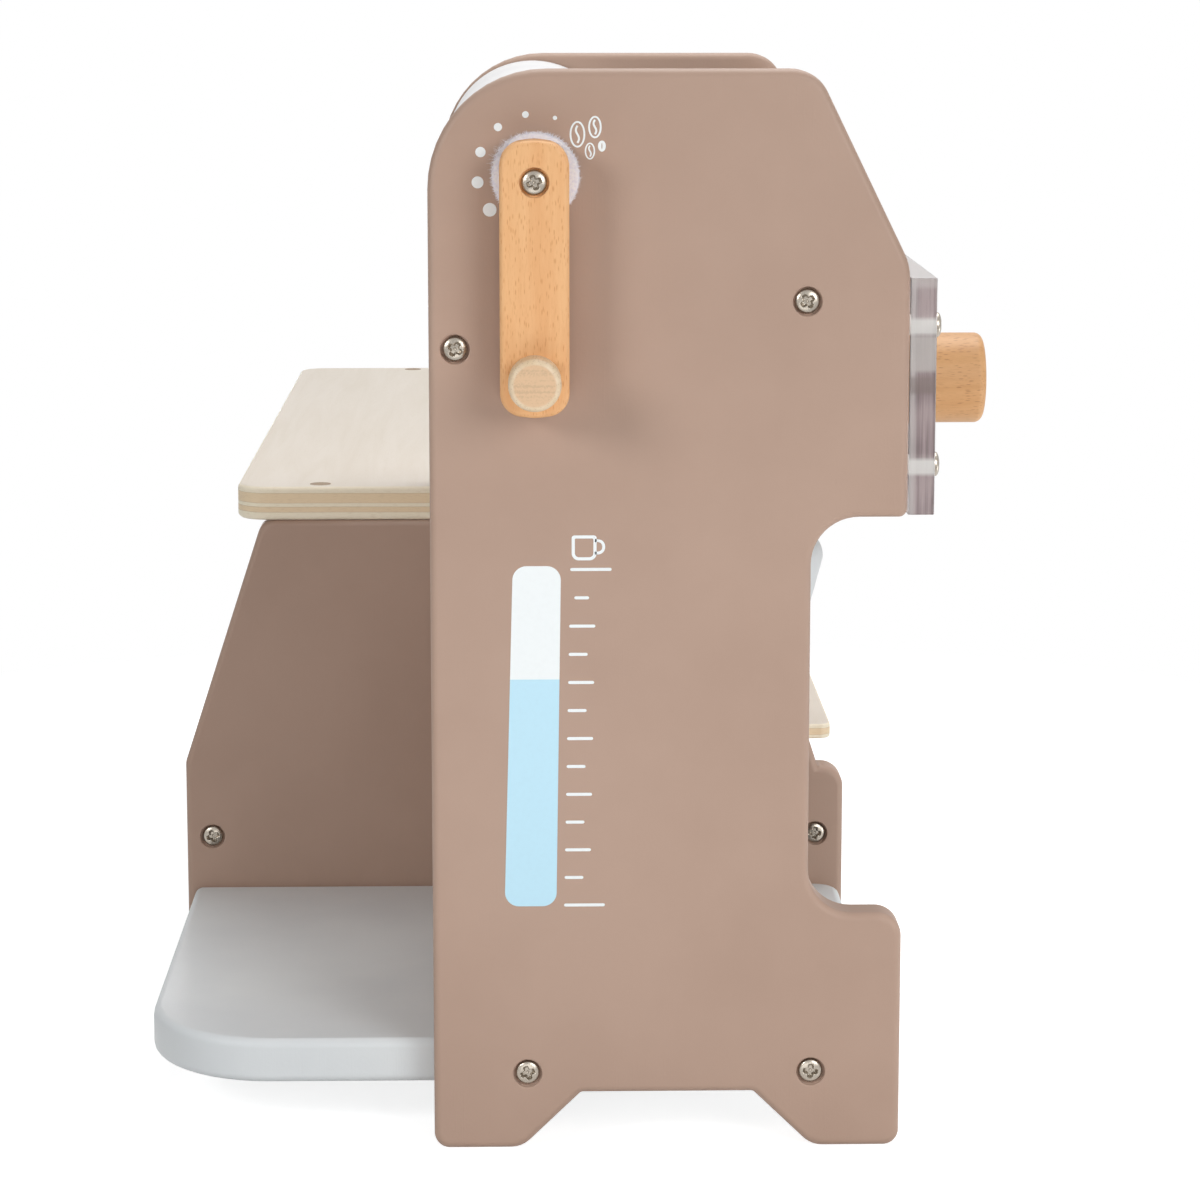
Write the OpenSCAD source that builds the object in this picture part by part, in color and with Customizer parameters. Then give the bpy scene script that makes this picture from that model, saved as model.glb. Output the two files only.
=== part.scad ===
// Wooden toy coffee maker: a tall brewing tower on the left, a low counter on the right.
// Millimetres, +Z up, front towards -Y. The origin is under the middle of the whole toy.
// Places inside the toy are given as (x, f, h): x runs across from the left panel's outer face,
// f runs forward from the tower's back edge, and h is the height above the floor.

/* [Body] */
// Width over the two outer panels
body_w = 520; // [440:5:620]
// Thickness of the painted boards
board_t = 12; // [10:0.5:14]
// Width of the tower over its two panels
tower_w = 192; // [160:1:230]
// Height of the tower
tower_h = 310; // [300:1:330]
// Depth of the tower from its back edge to its front edge
tower_d = 107.5; // [102:0.5:125]
// How far the head and the front feet reach past the tower
front_reach = 27; // [24:0.5:34]
// How far the counter reaches behind the tower
back_reach = 88.5; // [75:0.5:110]

/* [Panel outline] */
// Radius of the tower's top back corner
top_back_r = 33; // [20:1:38]
// Radius where the top turns into the sloping front
top_front_r = 11; // [5:1:20]
// Radius where the sloping front turns upright
brow_r = 15; // [5:1:25]
// Horizontal depth of the sloping front
slope_depth = 26.6; // [22:0.1:36]
// Height of the sloping front
slope_h = 54.3; // [50:0.1:62]
// Height of the head's upright front
head_face_h = 71.1; // [62:0.1:76]
// Radius of the lower front corner of the head
chin_r = 2.3; // [1:0.1:5]
// Radius under the head, where it meets the tower
head_fillet_r = 13.6; // [6:0.1:20]
// Radius above the foot, where it meets the tower
foot_fillet_r = 13; // [6:0.5:18]
// Height of the top of the front feet
foot_h = 69.5; // [62:0.5:74]
// Radius of the top corner of the front feet
foot_r = 7; // [3:0.5:8.5]
// Flat length on top of the feet behind their rounded corner
foot_flat = 1.6; // [0.2:0.1:3]
// Length of each toe that stands on the floor
toe_l = 25.4; // [18:0.1:30]
// Radius of the outer lower corners of the toes
toe_r = 4.5; // [2:0.5:7]
// Height of the arch between the toes
arch_h = 16.5; // [10:0.5:16.5]
// Horizontal run of the arch's sloping ends
arch_run = 17; // [10:0.5:22]
// Radius of the bends between the arch's sloping ends and the toes
arch_r = 8; // [2:0.5:10]
// Radius of the arch's upper corners
arch_top_r = 1.5; // [0.5:0.5:6]

/* [Counter] */
// Height of the panels under the counter top
counter_h = 155; // [140:1:168]
// Height where the back edges of the counter begin to lean
shoulder_h = 72; // [64:1:84]
// Horizontal depth of each leaning edge
lean_depth = 27.1; // [15:0.1:32]
// Radius of the counter panels' corners
counter_corner_r = 6; // [2:0.5:10]
// Thickness of the plywood counter top
top_t = 11.5; // [9:0.5:15]
// Overhang of the counter top past the panels' upper corners
top_overhang = 8.6; // [3:0.1:12]
// Radius of the counter top's corners in plan
top_corner_r = 10; // [4:0.5:16]
// Radius of the counter top's front corner beside the tower
top_inner_r = 2; // [1:0.5:4]
// Height of the counter floor's underside
floor_low = 40.3; // [36:0.1:44]
// Gap between the counter top and the tower
top_gap = 0.3; // [0.2:0.1:1]
// Thickness of the plywood tray shelf
tray_t = 5.2; // [4:0.1:6]
// Clear height between the counter floor and the tray shelf
tray_rise = 24.1; // [22:0.1:40]
// How far the tray shelf stays behind the front of the feet
tray_setback = 3.2; // [1:0.1:6]
// Radius of the tray shelf's front corners
tray_corner_r = 4; // [1:0.5:6]
// Depth of the grooves that hold the tray shelf
groove_depth = 4; // [3:0.5:5]
// Gap between the tray shelf's lip and the panels
tray_side_gap = 0.3; // [0.2:0.1:1]
// Gap between the tray shelf's tongues and the bottoms of their grooves
tongue_gap = 0.2; // [0.1:0.1:0.5]
// How far the tongues end behind the panels' leaning front edge
tongue_setback = 1; // [0.5:0.1:3]

/* [Base plate] */
// Thickness of the base plate
base_t = 13.2; // [12:0.1:14]
// Height of the base plate's underside
base_low = 16; // [16:0.5:22]
// How far the base plate's ends stay inside the counter panels' back edge
base_back_setback = 2.8; // [1:0.1:8]
// How far the base plate stays behind the front of the feet
base_front_setback = 1.8; // [1:0.1:6]
// Radius of the base plate's free back corner
base_free_r = 38; // [15:1:45]
// Radius of the base plate's front corners
base_front_r = 8; // [3:1:12]
// Radius of the base plate's back corner beside the middle panel
base_inner_r = 3; // [1:0.5:6]

/* [Tower boards] */
// How far the back board stays inside the tower's back edge
back_setback = 1.4; // [0.5:0.1:4]
// How far the hopper floor's top lies below the sloping front
hopper_dip = 3.9; // [0.5:0.1:5]
// Gap between the drum's front and the back end of the hopper floor
hopper_gap = 8.4; // [6:0.1:12]
// How far the head's boards stay behind the front window
head_setback = 0.5; // [0.3:0.1:2]
// How far the sloping board stays inside the panels' edge
slope_setback = 1; // [0.5:0.1:3]
// How far the sloping board ends below the top of the tower
slope_drop = 10; // [6:1:16]
// How far the window ends below the sloping front
window_drop = 3.4; // [0.3:0.1:5]
// How far the window's lower edge lies above the underside of the head
window_rise = 0.8; // [0:0.1:3]
// Thickness of the chute boards in the window chamber
chute_t = 5; // [3:0.5:7]
// Height of the chute boards' upper ends above the head floor
chute_rise = 32; // [20:1:38]
// Clear width between the lower ends of the chute boards
chute_mouth = 34; // [30:1:44]

/* [Crank and drum] */
// Gap between the tower's back edge and the drum
drum_back_gap = 1.6; // [0.4:0.1:4]
// How far the drum dips below the hopper floor's top
drum_dip = 0; // [0:0.5:2]
// Diameter of the wooden axle
axle_d = 12; // [8:0.5:14]
// Running clearance around the axle
axle_fit = 0.06; // [0.02:0.01:0.1]
// Depth of the blind bore in the middle panel
axle_seat = 8; // [5:0.5:9]
// Gap between the axle's end and the bottom of the blind bore
axle_end_gap = 0.5; // [0.2:0.1:2]
// Depth of the axle in the crank arm
axle_in_arm = 6; // [4:0.5:7]
// Diameter of the white drum
drum_d = 56; // [50:0.5:58]
// Wall of the drum
drum_wall = 2.5; // [1.5:0.5:5]
// Gap between each end of the drum and its panel
drum_gap = 1; // [0.5:0.1:3]
// Thickness of the drum's end caps
cap_t = 10; // [6:1:16]
// Diameter of the felt washer
felt_d = 25; // [20:0.1:30]
// Thickness of the felt washer
felt_t = 2; // [1:0.5:4]
// Least clearance between the felt washer and the axle
felt_fit = 0.4; // [0.3:0.1:1]
// How far the felt washer hangs above the axle's middle
felt_lift = 1.4; // [0:0.1:2]
// How far the felt washer hangs ahead of the axle's middle
felt_shift = 0.4; // [0:0.1:1]
// Gap between the felt washer and the crank arm
arm_gap = 0.3; // [0.3:0.1:1]
// Width of the crank arm
arm_w = 19.2; // [17:0.1:24]
// Thickness of the crank arm
arm_t = 12; // [10:0.5:15]
// Length of the crank arm above the axis
arm_above = 11.6; // [10:0.1:14]
// Length of the crank arm below the axis
arm_below = 65; // [62.5:0.1:80]
// Radius of the corners at the crank arm's upper end
arm_top_r = 7; // [3:0.5:8]
// Radius of the corners at the crank arm's lower end
arm_low_r = 6.5; // [3:0.5:8]
// How far both ends of the crank arm bulge out between their corners
arm_bulge = 1.2; // [0.5:0.1:2]
// Radius of the bulges' middles
arm_end_r = 12; // [4:1:16]
// Distance between the crank's axis and the peg's axis
peg_reach = 54.5; // [40:0.1:57]
// Diameter of the crank peg
peg_d = 14.6; // [11:0.1:16]
// Length of the crank peg outside the arm
peg_l = 11; // [8:0.5:30]
// Radius of the peg's rounded end
peg_r = 2; // [0.5:0.1:4]
// Diameter of the peg's tenon in the arm
tenon_d = 8; // [6:0.5:10]
// Length of the peg's tenon in the arm
tenon_l = 6; // [4:0.5:8]

/* [Window and knob] */
// Thickness of the clear front window
window_t = 7.5; // [5:0.5:9]
// Height of the window's screws above and below its middle
window_screw_half = 19.8; // [15:0.1:25]
// Gap between the dosing wheel and the head floor
wheel_gap = 1.7; // [0.5:0.1:3]
// Diameter of the knob
knob_d = 27.7; // [20:0.1:36]
// Length of the knob
knob_l = 24.7; // [18:0.1:32]
// Radius of the knob's front edge
knob_front_r = 2.6; // [1:0.1:6]
// Bevel of the knob's back edge
knob_bevel = 1; // [0.5:0.1:2]
// Depth of the bolt in the knob
bolt_in_knob = 15.6; // [10:0.1:15.6]
// Diameter of the knob's bolt
bolt_d = 6; // [5:0.5:8]
// Running clearance around the bolt
bolt_fit = 0.05; // [0.02:0.01:0.1]
// Diameter of the knob's washer
knob_washer_d = 14; // [11:0.5:18]
// Thickness of the knob's washer
knob_washer_t = 0.8; // [0.5:0.1:1.5]
// Gap between the knob's washer and the window
knob_gap = 0.3; // [0.3:0.1:0.8]
// Diameter of the dosing wheel
wheel_d = 28; // [24:0.5:28]
// Length of the dosing wheel
wheel_l = 26; // [20:1:30]
// Diameter of the dosing wheel's pocket
pocket_d = 16; // [12:0.5:18]
// Depth of the dosing wheel's pocket
pocket_depth = 8.5; // [5:0.5:9.5]

/* [Brew outlet] */
// Distance from the head's front edge back to the outlet's axis
outlet_inset = 35.3; // [30:0.1:42]
// Largest diameter of the outlet
outlet_d = 40; // [34:0.5:46]
// Diameter of the outlet's lower end
outlet_tip_d = 27.5; // [22:0.5:32]
// Diameter of the outlet's neck
outlet_neck_d = 24; // [20:0.5:28]
// Bore of the outlet
outlet_bore_d = 15; // [10:0.5:17]
// Height of the outlet's body
outlet_l = 33; // [26:0.5:36]
// Length of the neck between the head and the outlet's body
neck_l = 20.3; // [10:0.1:22]
// Radius of the outlet's rounded shoulder
outlet_shoulder_r = 7; // [3:0.5:8]
// Bevel of the outlet's lower edge
outlet_bevel = 1.5; // [0.5:0.1:2.5]

/* [Fasteners] */
// Diameter of the screws' heads
screw_head_d = 7; // [6:0.1:7.5]
// Diameter of the screws' recesses
recess_d = 8.2; // [8:0.1:9]
// Depth of the screws' recesses
recess_depth = 2; // [1:0.1:3]
// Height of the screws' heads
screw_head_h = 1.9; // [1.5:0.1:3]
// Height of the screw heads' rims below their domes
screw_rim_h = 0.8; // [0.5:0.1:1.2]
// Length of the screws' crossed slots
slot_l = 3.9; // [3:0.1:4.5]
// Width of the screws' crossed slots
slot_w = 1.3; // [0.8:0.1:1.6]
// Depth of the screws' crossed slots
slot_depth = 1.4; // [0.8:0.1:1.4]
// Turn of the screws' crossed slots
slot_turn = 20; // [0:5:45]
// Diameter of the flat screws' heads
flat_head_d = 6.4; // [5.5:0.1:7]
// Height of the flat screws' straight rims
flat_rim_h = 0.4; // [0.2:0.1:0.8]
// Diameter of the screws' shanks
shank_d = 4; // [3:0.1:4.5]
// Length of the screws' shanks
shank_l = 30; // [22:1:35]
// Clearance around shanks, dowels, plugs and necks
seat_fit = 0.05; // [0.02:0.01:0.1]
// Diameter of the dowels
dowel_d = 7; // [5:0.5:8]
// Depth of a dowel in its panel
dowel_in_panel = 8; // [5:0.5:9]
// Depth of a dowel in its board
dowel_in_board = 16; // [10:1:24]
// Diameter of the wooden plugs in the counter top
plug_d = 7; // [6.5:0.1:9]
// Height of the wooden plugs
plug_t = 3; // [2:0.5:4]

/* [Fastener places] */
// Distance of the lower back screws from the tower's back edge
base_screw_inset = 27; // [20:0.5:32]
// How far the lower front screws stand ahead of the tower's front edge
base_screw_ahead = 1.2; // [0:0.1:4]
// Distance of the lower far screw from the counter panels' back edge
reach_screw_inset = 28.5; // [20:0.5:32]
// Distance of the counter floor's back screws from the panels' back edge
floor_screw_back_inset = 8.8; // [7:0.1:14]
// Distance of the counter floor's front screws from the front of the feet
floor_screw_front_inset = 9.4; // [7:0.1:14]
// Distance of the back board's lower screws from the tower's middle
back_screw_side = 42; // [25:1:60]
// How far the back board's screws lie below the hopper floor's top
back_screw_drop = 19.2; // [14:0.1:28]
// Distance of the hopper floor's screws from the front of the head
hopper_screw_inset = 28.7; // [24:0.1:38]
// Distance of the divider's screws from the divider's ends
divider_screw_inset = 24; // [14:1:36]
// Distance of the counter top's first screw from the top's back edge
top_screw_back_inset = 28; // [18:0.1:40]
// Distance of the counter top's other screws from the middle of the counter
top_screw_side = 44.8; // [25:0.1:60]
// Distance of the head floor's front dowels from the front of the head
head_dowel_front_inset = 16; // [14:0.5:22]
// Distance of the head floor's back dowels from the back board
head_dowel_back_inset = 22; // [12:1:30]
// Distance of the boards' other dowels from the boards' ends
dowel_inset = 12; // [8:0.5:14]
// Distance of the back board's lower dowels from the board's end
low_dowel_inset = 32; // [28:1:40]

/* [Hidden] */

$fn = 64;
corner_step = 7.5;
dome_step = 15;
cut = 0.5;

taupe = "#B09583";
pale_grey = "#DDE1E2";
birch = "#E3DBD1";
beech = "#E6B07C";
light_wood = "#DCC5A5";
felt_white = "#DCD9EA";
steel = "#A8A296";
clear_plastic = "#C9C4D2";

// How far the crank stands out past the left panel, and where the knob's front lies
crank_out = felt_t + arm_gap + arm_t + peg_l;
slope_low = tower_h - slope_h;
head_low = slope_low - head_face_h;
head_f = tower_d + front_reach;
window_front = head_f + window_t;
knob_back = window_front + knob_gap + knob_washer_t;
knob_front = knob_back + knob_l;

// The frame's place: the whole toy is centred in X and Y and stands on Z = 0
x_left = (crank_out - body_w) / 2;
y_back = (knob_front - back_reach) / 2;

// Inner faces and widths between the panels
bay_right = tower_w - board_t;
bay_w = bay_right - board_t;
bay_mid = tower_w / 2;
counter_right = body_w - board_t;
counter_mid_f = (head_f - back_reach) / 2;

// Heights of the stacked boards
base_top = base_low + base_t;
base_mid = base_low + base_t / 2;
floor_top = floor_low + board_t;
floor_mid = floor_low + board_t / 2;
head_floor_low = head_low + head_setback;
head_floor_top = head_floor_low + board_t;
hopper_top = slope_low - hopper_dip;
hopper_low = hopper_top - board_t;
hopper_mid = hopper_low + board_t / 2;
tray_low = floor_top + tray_rise;
tray_top = tray_low + tray_t;

// Axes of the drum, the knob and the outlet, and the back end of the hopper floor
axle_f = drum_back_gap + drum_d / 2;
axle_h = hopper_top + drum_d / 2 - drum_dip;
hopper_back = axle_f + drum_d / 2 + hopper_gap;
knob_h = head_floor_top + wheel_gap + wheel_d / 2;
outlet_f = head_f - outlet_inset;

// Leaning edges of the counter panels
lean_rise = counter_h - shoulder_h;
lean_ratio = lean_depth / lean_rise;
counter_back = lean_depth - back_reach;
foot_back_f = head_f - foot_r - foot_flat;
counter_front = foot_back_f - (counter_h - foot_h) * lean_ratio;
lean_meets_tower_h = foot_h + (foot_back_f - tower_d) / lean_ratio;

// Sloping front of the head
slope_rise = tower_h - slope_low;
slope_ratio = slope_depth / slope_rise;
slope_stretch = sqrt(1 + slope_ratio * slope_ratio);

// Back board and divider
back_board_mid = back_setback + board_t / 2;
back_board_front = back_setback + board_t;
head_boards_front = head_f - head_setback;
divider_back = counter_mid_f - board_t / 2;
divider_front = counter_mid_f + board_t / 2;

// Screw places as [f, h]
base_screw_back = base_screw_inset;
base_screw_front = tower_d + base_screw_ahead;
base_screw_reach = reach_screw_inset - back_reach;
floor_screw_back = floor_screw_back_inset - back_reach;
floor_screw_front = head_f - floor_screw_front_inset;
back_screw_h = hopper_top - back_screw_drop;
hopper_screw_f = head_f - hopper_screw_inset;
divider_screw_low = floor_top + divider_screw_inset;
divider_screw_high = counter_h - divider_screw_inset;
tower_screw_places = [
    [base_screw_back, base_mid],
    [base_screw_front, base_mid],
    [back_board_mid, back_screw_h],
    [hopper_screw_f, hopper_mid]
];
reach_screw_places = concat(tower_screw_places, [[base_screw_reach, base_mid]]);
counter_screw_places = [
    [floor_screw_back, floor_mid],
    [floor_screw_front, floor_mid],
    [counter_mid_f, divider_screw_low],
    [counter_mid_f, divider_screw_high]
];

// Dowel places as [f, h], kept clear of the screws
head_dowel_back = back_board_front + head_dowel_back_inset;
head_dowel_front = head_f - head_dowel_front_inset;
head_floor_mid = head_floor_low + board_t / 2;
hopper_dowel_f = hopper_back + dowel_inset;
slope_dowel_low = hopper_top + dowel_inset;
slope_dowel_high = tower_h - slope_drop - dowel_inset;
back_dowel_low = base_top + low_dowel_inset;
back_dowel_high = head_floor_low - dowel_inset;
head_floor_dowels = [[head_dowel_back, head_floor_mid], [head_dowel_front, head_floor_mid]];
hopper_floor_dowels = [[hopper_dowel_f, hopper_mid]];
slope_dowels = [for (h = [slope_dowel_low, slope_dowel_high]) [slope_mid_f(h), h]];
back_board_dowels = [for (h = [back_dowel_low, back_dowel_high]) [back_board_mid, h]];
dowel_places = concat(head_floor_dowels, hopper_floor_dowels, slope_dowels, back_board_dowels);

// Window screws as [x, h], and counter top screws as [x, f]
window_low = head_low + window_rise;
window_top = slope_low - window_drop;
window_mid_h = (window_low + window_top) / 2;
window_screw_places = [
    for (x = [board_t / 2, tower_w - board_t / 2])
        for (side = [-1, 1]) [x, window_mid_h + side * window_screw_half]
];
counter_top_screw_places = [
    [tower_w - board_t / 2, counter_back - top_overhang + top_screw_back_inset],
    [body_w - board_t / 2, counter_mid_f - top_screw_side],
    [body_w - board_t / 2, counter_mid_f + top_screw_side]
];
back_board_screw_places = [for (side = [-1, 1]) [bay_mid + side * back_screw_side, back_board_mid]];

// Forward place of a point on the sloping front, set in by a distance square to the slope
function slope_f(h, inset) = head_f - (h - slope_low) * slope_ratio - inset * slope_stretch;
function slope_mid_f(h) = slope_f(h, slope_setback + board_t / 2);

// Round one corner of an outline: here is the corner as [x, y, radius]
function heading(angle) = [cos(angle), sin(angle)];
function flat(p) = [p[0], p[1]];
function unit(v) = v / norm(v);
function turned(angle) = angle > 180 ? angle - 360 : (angle < -180 ? angle + 360 : angle);
function corner(before, here, after) =
    let (
        to_before = unit(flat(before) - flat(here)),
        to_after = unit(flat(after) - flat(here)),
        half = acos(to_before * to_after) / 2,
        r = here[2],
        centre = flat(here) + unit(to_before + to_after) * r / sin(half),
        first = flat(here) + to_before * r / tan(half) - centre,
        last = flat(here) + to_after * r / tan(half) - centre,
        start = atan2(first[1], first[0]),
        sweep = turned(atan2(last[1], last[0]) - start),
        steps = ceil(abs(sweep) / corner_step)
    )
    [for (i = [0:steps]) centre + r * heading(start + sweep * i / steps)];
function rounded(points) =
    let (n = len(points))
    [
        for (i = [0:n - 1])
            each points[i][2] == 0
                ? [flat(points[i])]
                : corner(points[(i + n - 1) % n], points[i], points[(i + 1) % n])
    ];
function arc(centre, r, from, to) =
    let (steps = ceil(abs(to - from) / corner_step))
    [for (i = [0:steps]) centre + r * heading(from + (to - from) * i / steps)];

// Outline stretches in (f, h), each point with its corner radius
function toes(back, front) = [
    [front, 0, toe_r],
    [front - toe_l, 0, arch_r],
    [front - toe_l - arch_run, arch_h, arch_top_r],
    [back + toe_l + arch_run, arch_h, arch_top_r],
    [back + toe_l, 0, arch_r],
    [back, 0, toe_r]
];
head_points = [
    [0, tower_h, top_back_r],
    [head_f - slope_depth, tower_h, top_front_r],
    [head_f, slope_low, brow_r],
    [head_f, head_low, chin_r],
    [tower_d, head_low, head_fillet_r]
];
counter_back_points = [
    [-back_reach, shoulder_h, counter_corner_r],
    [counter_back, counter_h, counter_corner_r]
];

// An outline in (f, h) made into a board that starts at x and is t thick
module upright(x, t) {
    translate([x_left + x + t, y_back, 0]) rotate([90, 0, -90]) linear_extrude(t) children();
}

// An outline in (x, f) made into a level board that starts at h and is t thick
module level(h, t) {
    translate([x_left, y_back, h]) mirror([0, 1, 0]) linear_extrude(t) children();
}

// A straight board between two corners, each given as [x, f, h]
module board(low, high) {
    translate([x_left + low[0], y_back - high[1], low[2]]) cube(high - low);
}

// Places for turned pieces: their own +Z axis points left, right, forward or down
module face_left(x, f, h) {
    translate([x_left + x, y_back - f, h]) rotate([0, -90, 0]) children();
}
module face_right(x, f, h) {
    translate([x_left + x, y_back - f, h]) rotate([0, 90, 0]) children();
}
module face_front(x, f, h) {
    translate([x_left + x, y_back - f, h]) rotate([90, 0, 0]) children();
}
module face_up(x, f, h) {
    translate([x_left + x, y_back - f, h]) children();
}
module face_down(x, f, h) {
    translate([x_left + x, y_back - f, h]) mirror([0, 0, 1]) children();
}

// A round hole that a rod of this diameter fits, from below Z = 0 by its depth and a little above it
module fitted_hole(d, depth, above) {
    translate([0, 0, -depth]) cylinder(d = d + 2 * seat_fit, h = depth + above);
}

// A round hole right through a piece that lies from Z = 0 up to its thickness
module through_hole(d, thickness) {
    translate([0, 0, -cut]) cylinder(d = d, h = thickness + 2 * cut);
}

// A pan head screw with its head above Z = 0 and its shank below
module pan_screw(length) {
    head_r = screw_head_d / 2;
    shank_r = shank_d / 2;
    dome_h = screw_head_h - screw_rim_h;
    tip = [[0, -length], [shank_r / 2, -length], [shank_r, shank_d - length]];
    rim = [[shank_r, 0], [head_r, 0]];
    dome = [for (a = [0:dome_step:90]) [head_r * cos(a), screw_rim_h + dome_h * sin(a)]];
    difference() {
        rotate_extrude() polygon(concat(tip, rim, dome));
        for (turn = [0, 90])
            rotate([0, 0, turn + slot_turn])
                translate([-slot_l / 2, -slot_w / 2, screw_head_h - slot_depth])
                    cube([slot_l, slot_w, slot_depth + cut]);
    }
}

// The recess and hole that a pan head screw sits in
module pan_seat(length, room) {
    cylinder(d = recess_d, h = room);
    fitted_hole(shank_d, length + seat_fit, cut);
}

// A flat countersunk screw whose head's top lies at Z = 0, and the seat that it fits
module flat_screw() {
    head_r = flat_head_d / 2;
    shank_r = shank_d / 2;
    neck = -flat_rim_h - (head_r - shank_r);
    tip = [[0, -shank_l], [shank_r / 2, -shank_l], [shank_r, shank_d - shank_l]];
    head = [[shank_r, neck], [head_r, -flat_rim_h], [head_r, 0], [0, 0]];
    rotate_extrude() polygon(concat(tip, head));
}
module flat_seat() {
    side_r = flat_head_d / 2 + seat_fit;
    hole_r = shank_d / 2 + seat_fit;
    end = -shank_l - seat_fit;
    rim = -flat_rim_h - seat_fit;
    neck = rim - (side_r - hole_r);
    rotate_extrude()
        polygon([[0, end], [hole_r, end], [hole_r, neck], [side_r, rim], [side_r, cut], [0, cut]]);
}

// Holes for the dowels at the two ends of a tower board, and in the face of a panel
module board_dowel_holes(places) {
    for (p = places) {
        face_left(board_t, p[0], p[1]) fitted_hole(dowel_d, dowel_in_board + seat_fit, cut);
        face_right(bay_right, p[0], p[1]) fitted_hole(dowel_d, dowel_in_board + seat_fit, cut);
    }
}

// Screw seats in the left panel's outer face and in the middle panel's right face
module left_tower_seats() {
    for (p = tower_screw_places)
        face_left(recess_depth, p[0], p[1]) pan_seat(shank_l, recess_depth + cut);
}
module right_tower_seats() {
    for (p = reach_screw_places)
        face_right(tower_w - recess_depth, p[0], p[1]) pan_seat(shank_l, recess_depth + cut);
}

// Screw seats in the middle panel's left face and in the right panel's outer face
module left_counter_seats() {
    for (p = counter_screw_places)
        face_left(bay_right + recess_depth, p[0], p[1]) pan_seat(shank_l, recess_depth + cut);
}
module right_counter_seats() {
    for (p = counter_screw_places)
        face_right(body_w - recess_depth, p[0], p[1]) pan_seat(shank_l, recess_depth + cut);
}

module window_seats() {
    for (p = window_screw_places)
        face_front(p[0], window_front, p[1]) fitted_hole(shank_d, shank_l + seat_fit, cut);
}

module counter_top_seats() {
    for (p = counter_top_screw_places) {
        face_up(p[0], p[1], counter_h + top_t - plug_t) flat_seat();
        face_up(p[0], p[1], counter_h + top_t) fitted_hole(plug_d, plug_t, cut);
    }
}

module back_board_seats() {
    for (p = back_board_screw_places)
        face_down(p[0], p[1], base_low) flat_seat();
}

// The tray shelf's groove, cut square into a panel's face at x and open at the front edge
module tray_groove(x) {
    board([x, divider_front, tray_low - seat_fit], [x + groove_depth, head_f, tray_top + seat_fit]);
}

module left_panel() {
    foot_points = [[tower_d, foot_h, foot_fillet_r], [head_f, foot_h, foot_r]];
    color(taupe) difference() {
        upright(0, board_t) polygon(rounded(concat(head_points, foot_points, toes(0, head_f))));
        left_tower_seats();
        window_seats();
        for (p = dowel_places)
            face_right(board_t, p[0], p[1]) fitted_hole(dowel_d, dowel_in_panel + seat_fit, cut);
        face_right(0, axle_f, axle_h) through_hole(axle_d + 2 * axle_fit, board_t);
    }
}

module middle_panel() {
    foot_points = [[tower_d, lean_meets_tower_h, 0], [foot_back_f, foot_h, 0], [head_f, foot_h, foot_r]];
    shelf_points = [[0, counter_h, 0]];
    upper_points = concat(head_points, foot_points);
    lower_points = concat(toes(-back_reach, head_f), counter_back_points, shelf_points);
    color(taupe) difference() {
        upright(bay_right, board_t) polygon(rounded(concat(upper_points, lower_points)));
        right_tower_seats();
        left_counter_seats();
        window_seats();
        counter_top_seats();
        tray_groove(tower_w - groove_depth);
        for (p = dowel_places)
            face_left(bay_right, p[0], p[1]) fitted_hole(dowel_d, dowel_in_panel + seat_fit, cut);
        face_right(bay_right - cut, axle_f, axle_h)
            cylinder(d = axle_d + 2 * axle_fit, h = axle_seat + cut);
    }
}

module right_panel() {
    upper_points = [[counter_front, counter_h, counter_corner_r], [foot_back_f, foot_h, 0]];
    lower_points = concat([[head_f, foot_h, foot_r]], toes(-back_reach, head_f), counter_back_points);
    color(taupe) difference() {
        upright(counter_right, board_t) polygon(rounded(concat(upper_points, lower_points)));
        right_counter_seats();
        counter_top_seats();
        tray_groove(counter_right);
    }
}

module base_plate() {
    back = base_back_setback - back_reach;
    front = head_f - base_front_setback;
    color(pale_grey) difference() {
        level(base_low, base_t)
            polygon(rounded([
                [board_t, back, base_free_r], [bay_right, back, base_inner_r],
                [bay_right, front, base_front_r], [board_t, front, base_front_r]
            ]));
        left_tower_seats();
        right_tower_seats();
        back_board_seats();
    }
}

module back_board() {
    color(taupe) difference() {
        board([board_t, back_setback, base_top], [bay_right, back_board_front, hopper_top]);
        left_tower_seats();
        right_tower_seats();
        back_board_seats();
        board_dowel_holes(back_board_dowels);
    }
}

module head_floor() {
    color(taupe) difference() {
        board([board_t, back_board_front, head_floor_low], [bay_right, head_boards_front, head_floor_top]);
        board_dowel_holes(head_floor_dowels);
        face_up(bay_mid, outlet_f, head_floor_low) through_hole(outlet_neck_d + 2 * seat_fit, board_t);
    }
}

module hopper_floor() {
    color(taupe) difference() {
        board([board_t, hopper_back, hopper_low], [bay_right, head_boards_front, hopper_top]);
        left_tower_seats();
        right_tower_seats();
        board_dowel_holes(hopper_floor_dowels);
    }
}

module slope_board() {
    top = tower_h - slope_drop;
    inner = slope_setback + board_t;
    // The lower front stands upright, in line with the other boards of the head
    brow_h = slope_low + (head_setback - slope_setback * slope_stretch) / slope_ratio;
    foot_points = brow_h > hopper_top
        ? [[head_boards_front, hopper_top], [head_boards_front, brow_h]]
        : [[slope_f(hopper_top, slope_setback), hopper_top]];
    outer_points = concat(foot_points, [[slope_f(top, slope_setback), top]]);
    inner_points = [[slope_f(top, inner), top], [slope_f(hopper_top, inner), hopper_top]];
    color(taupe) difference() {
        upright(board_t, bay_w) polygon(concat(outer_points, inner_points));
        board_dowel_holes(slope_dowels);
    }
}

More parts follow.
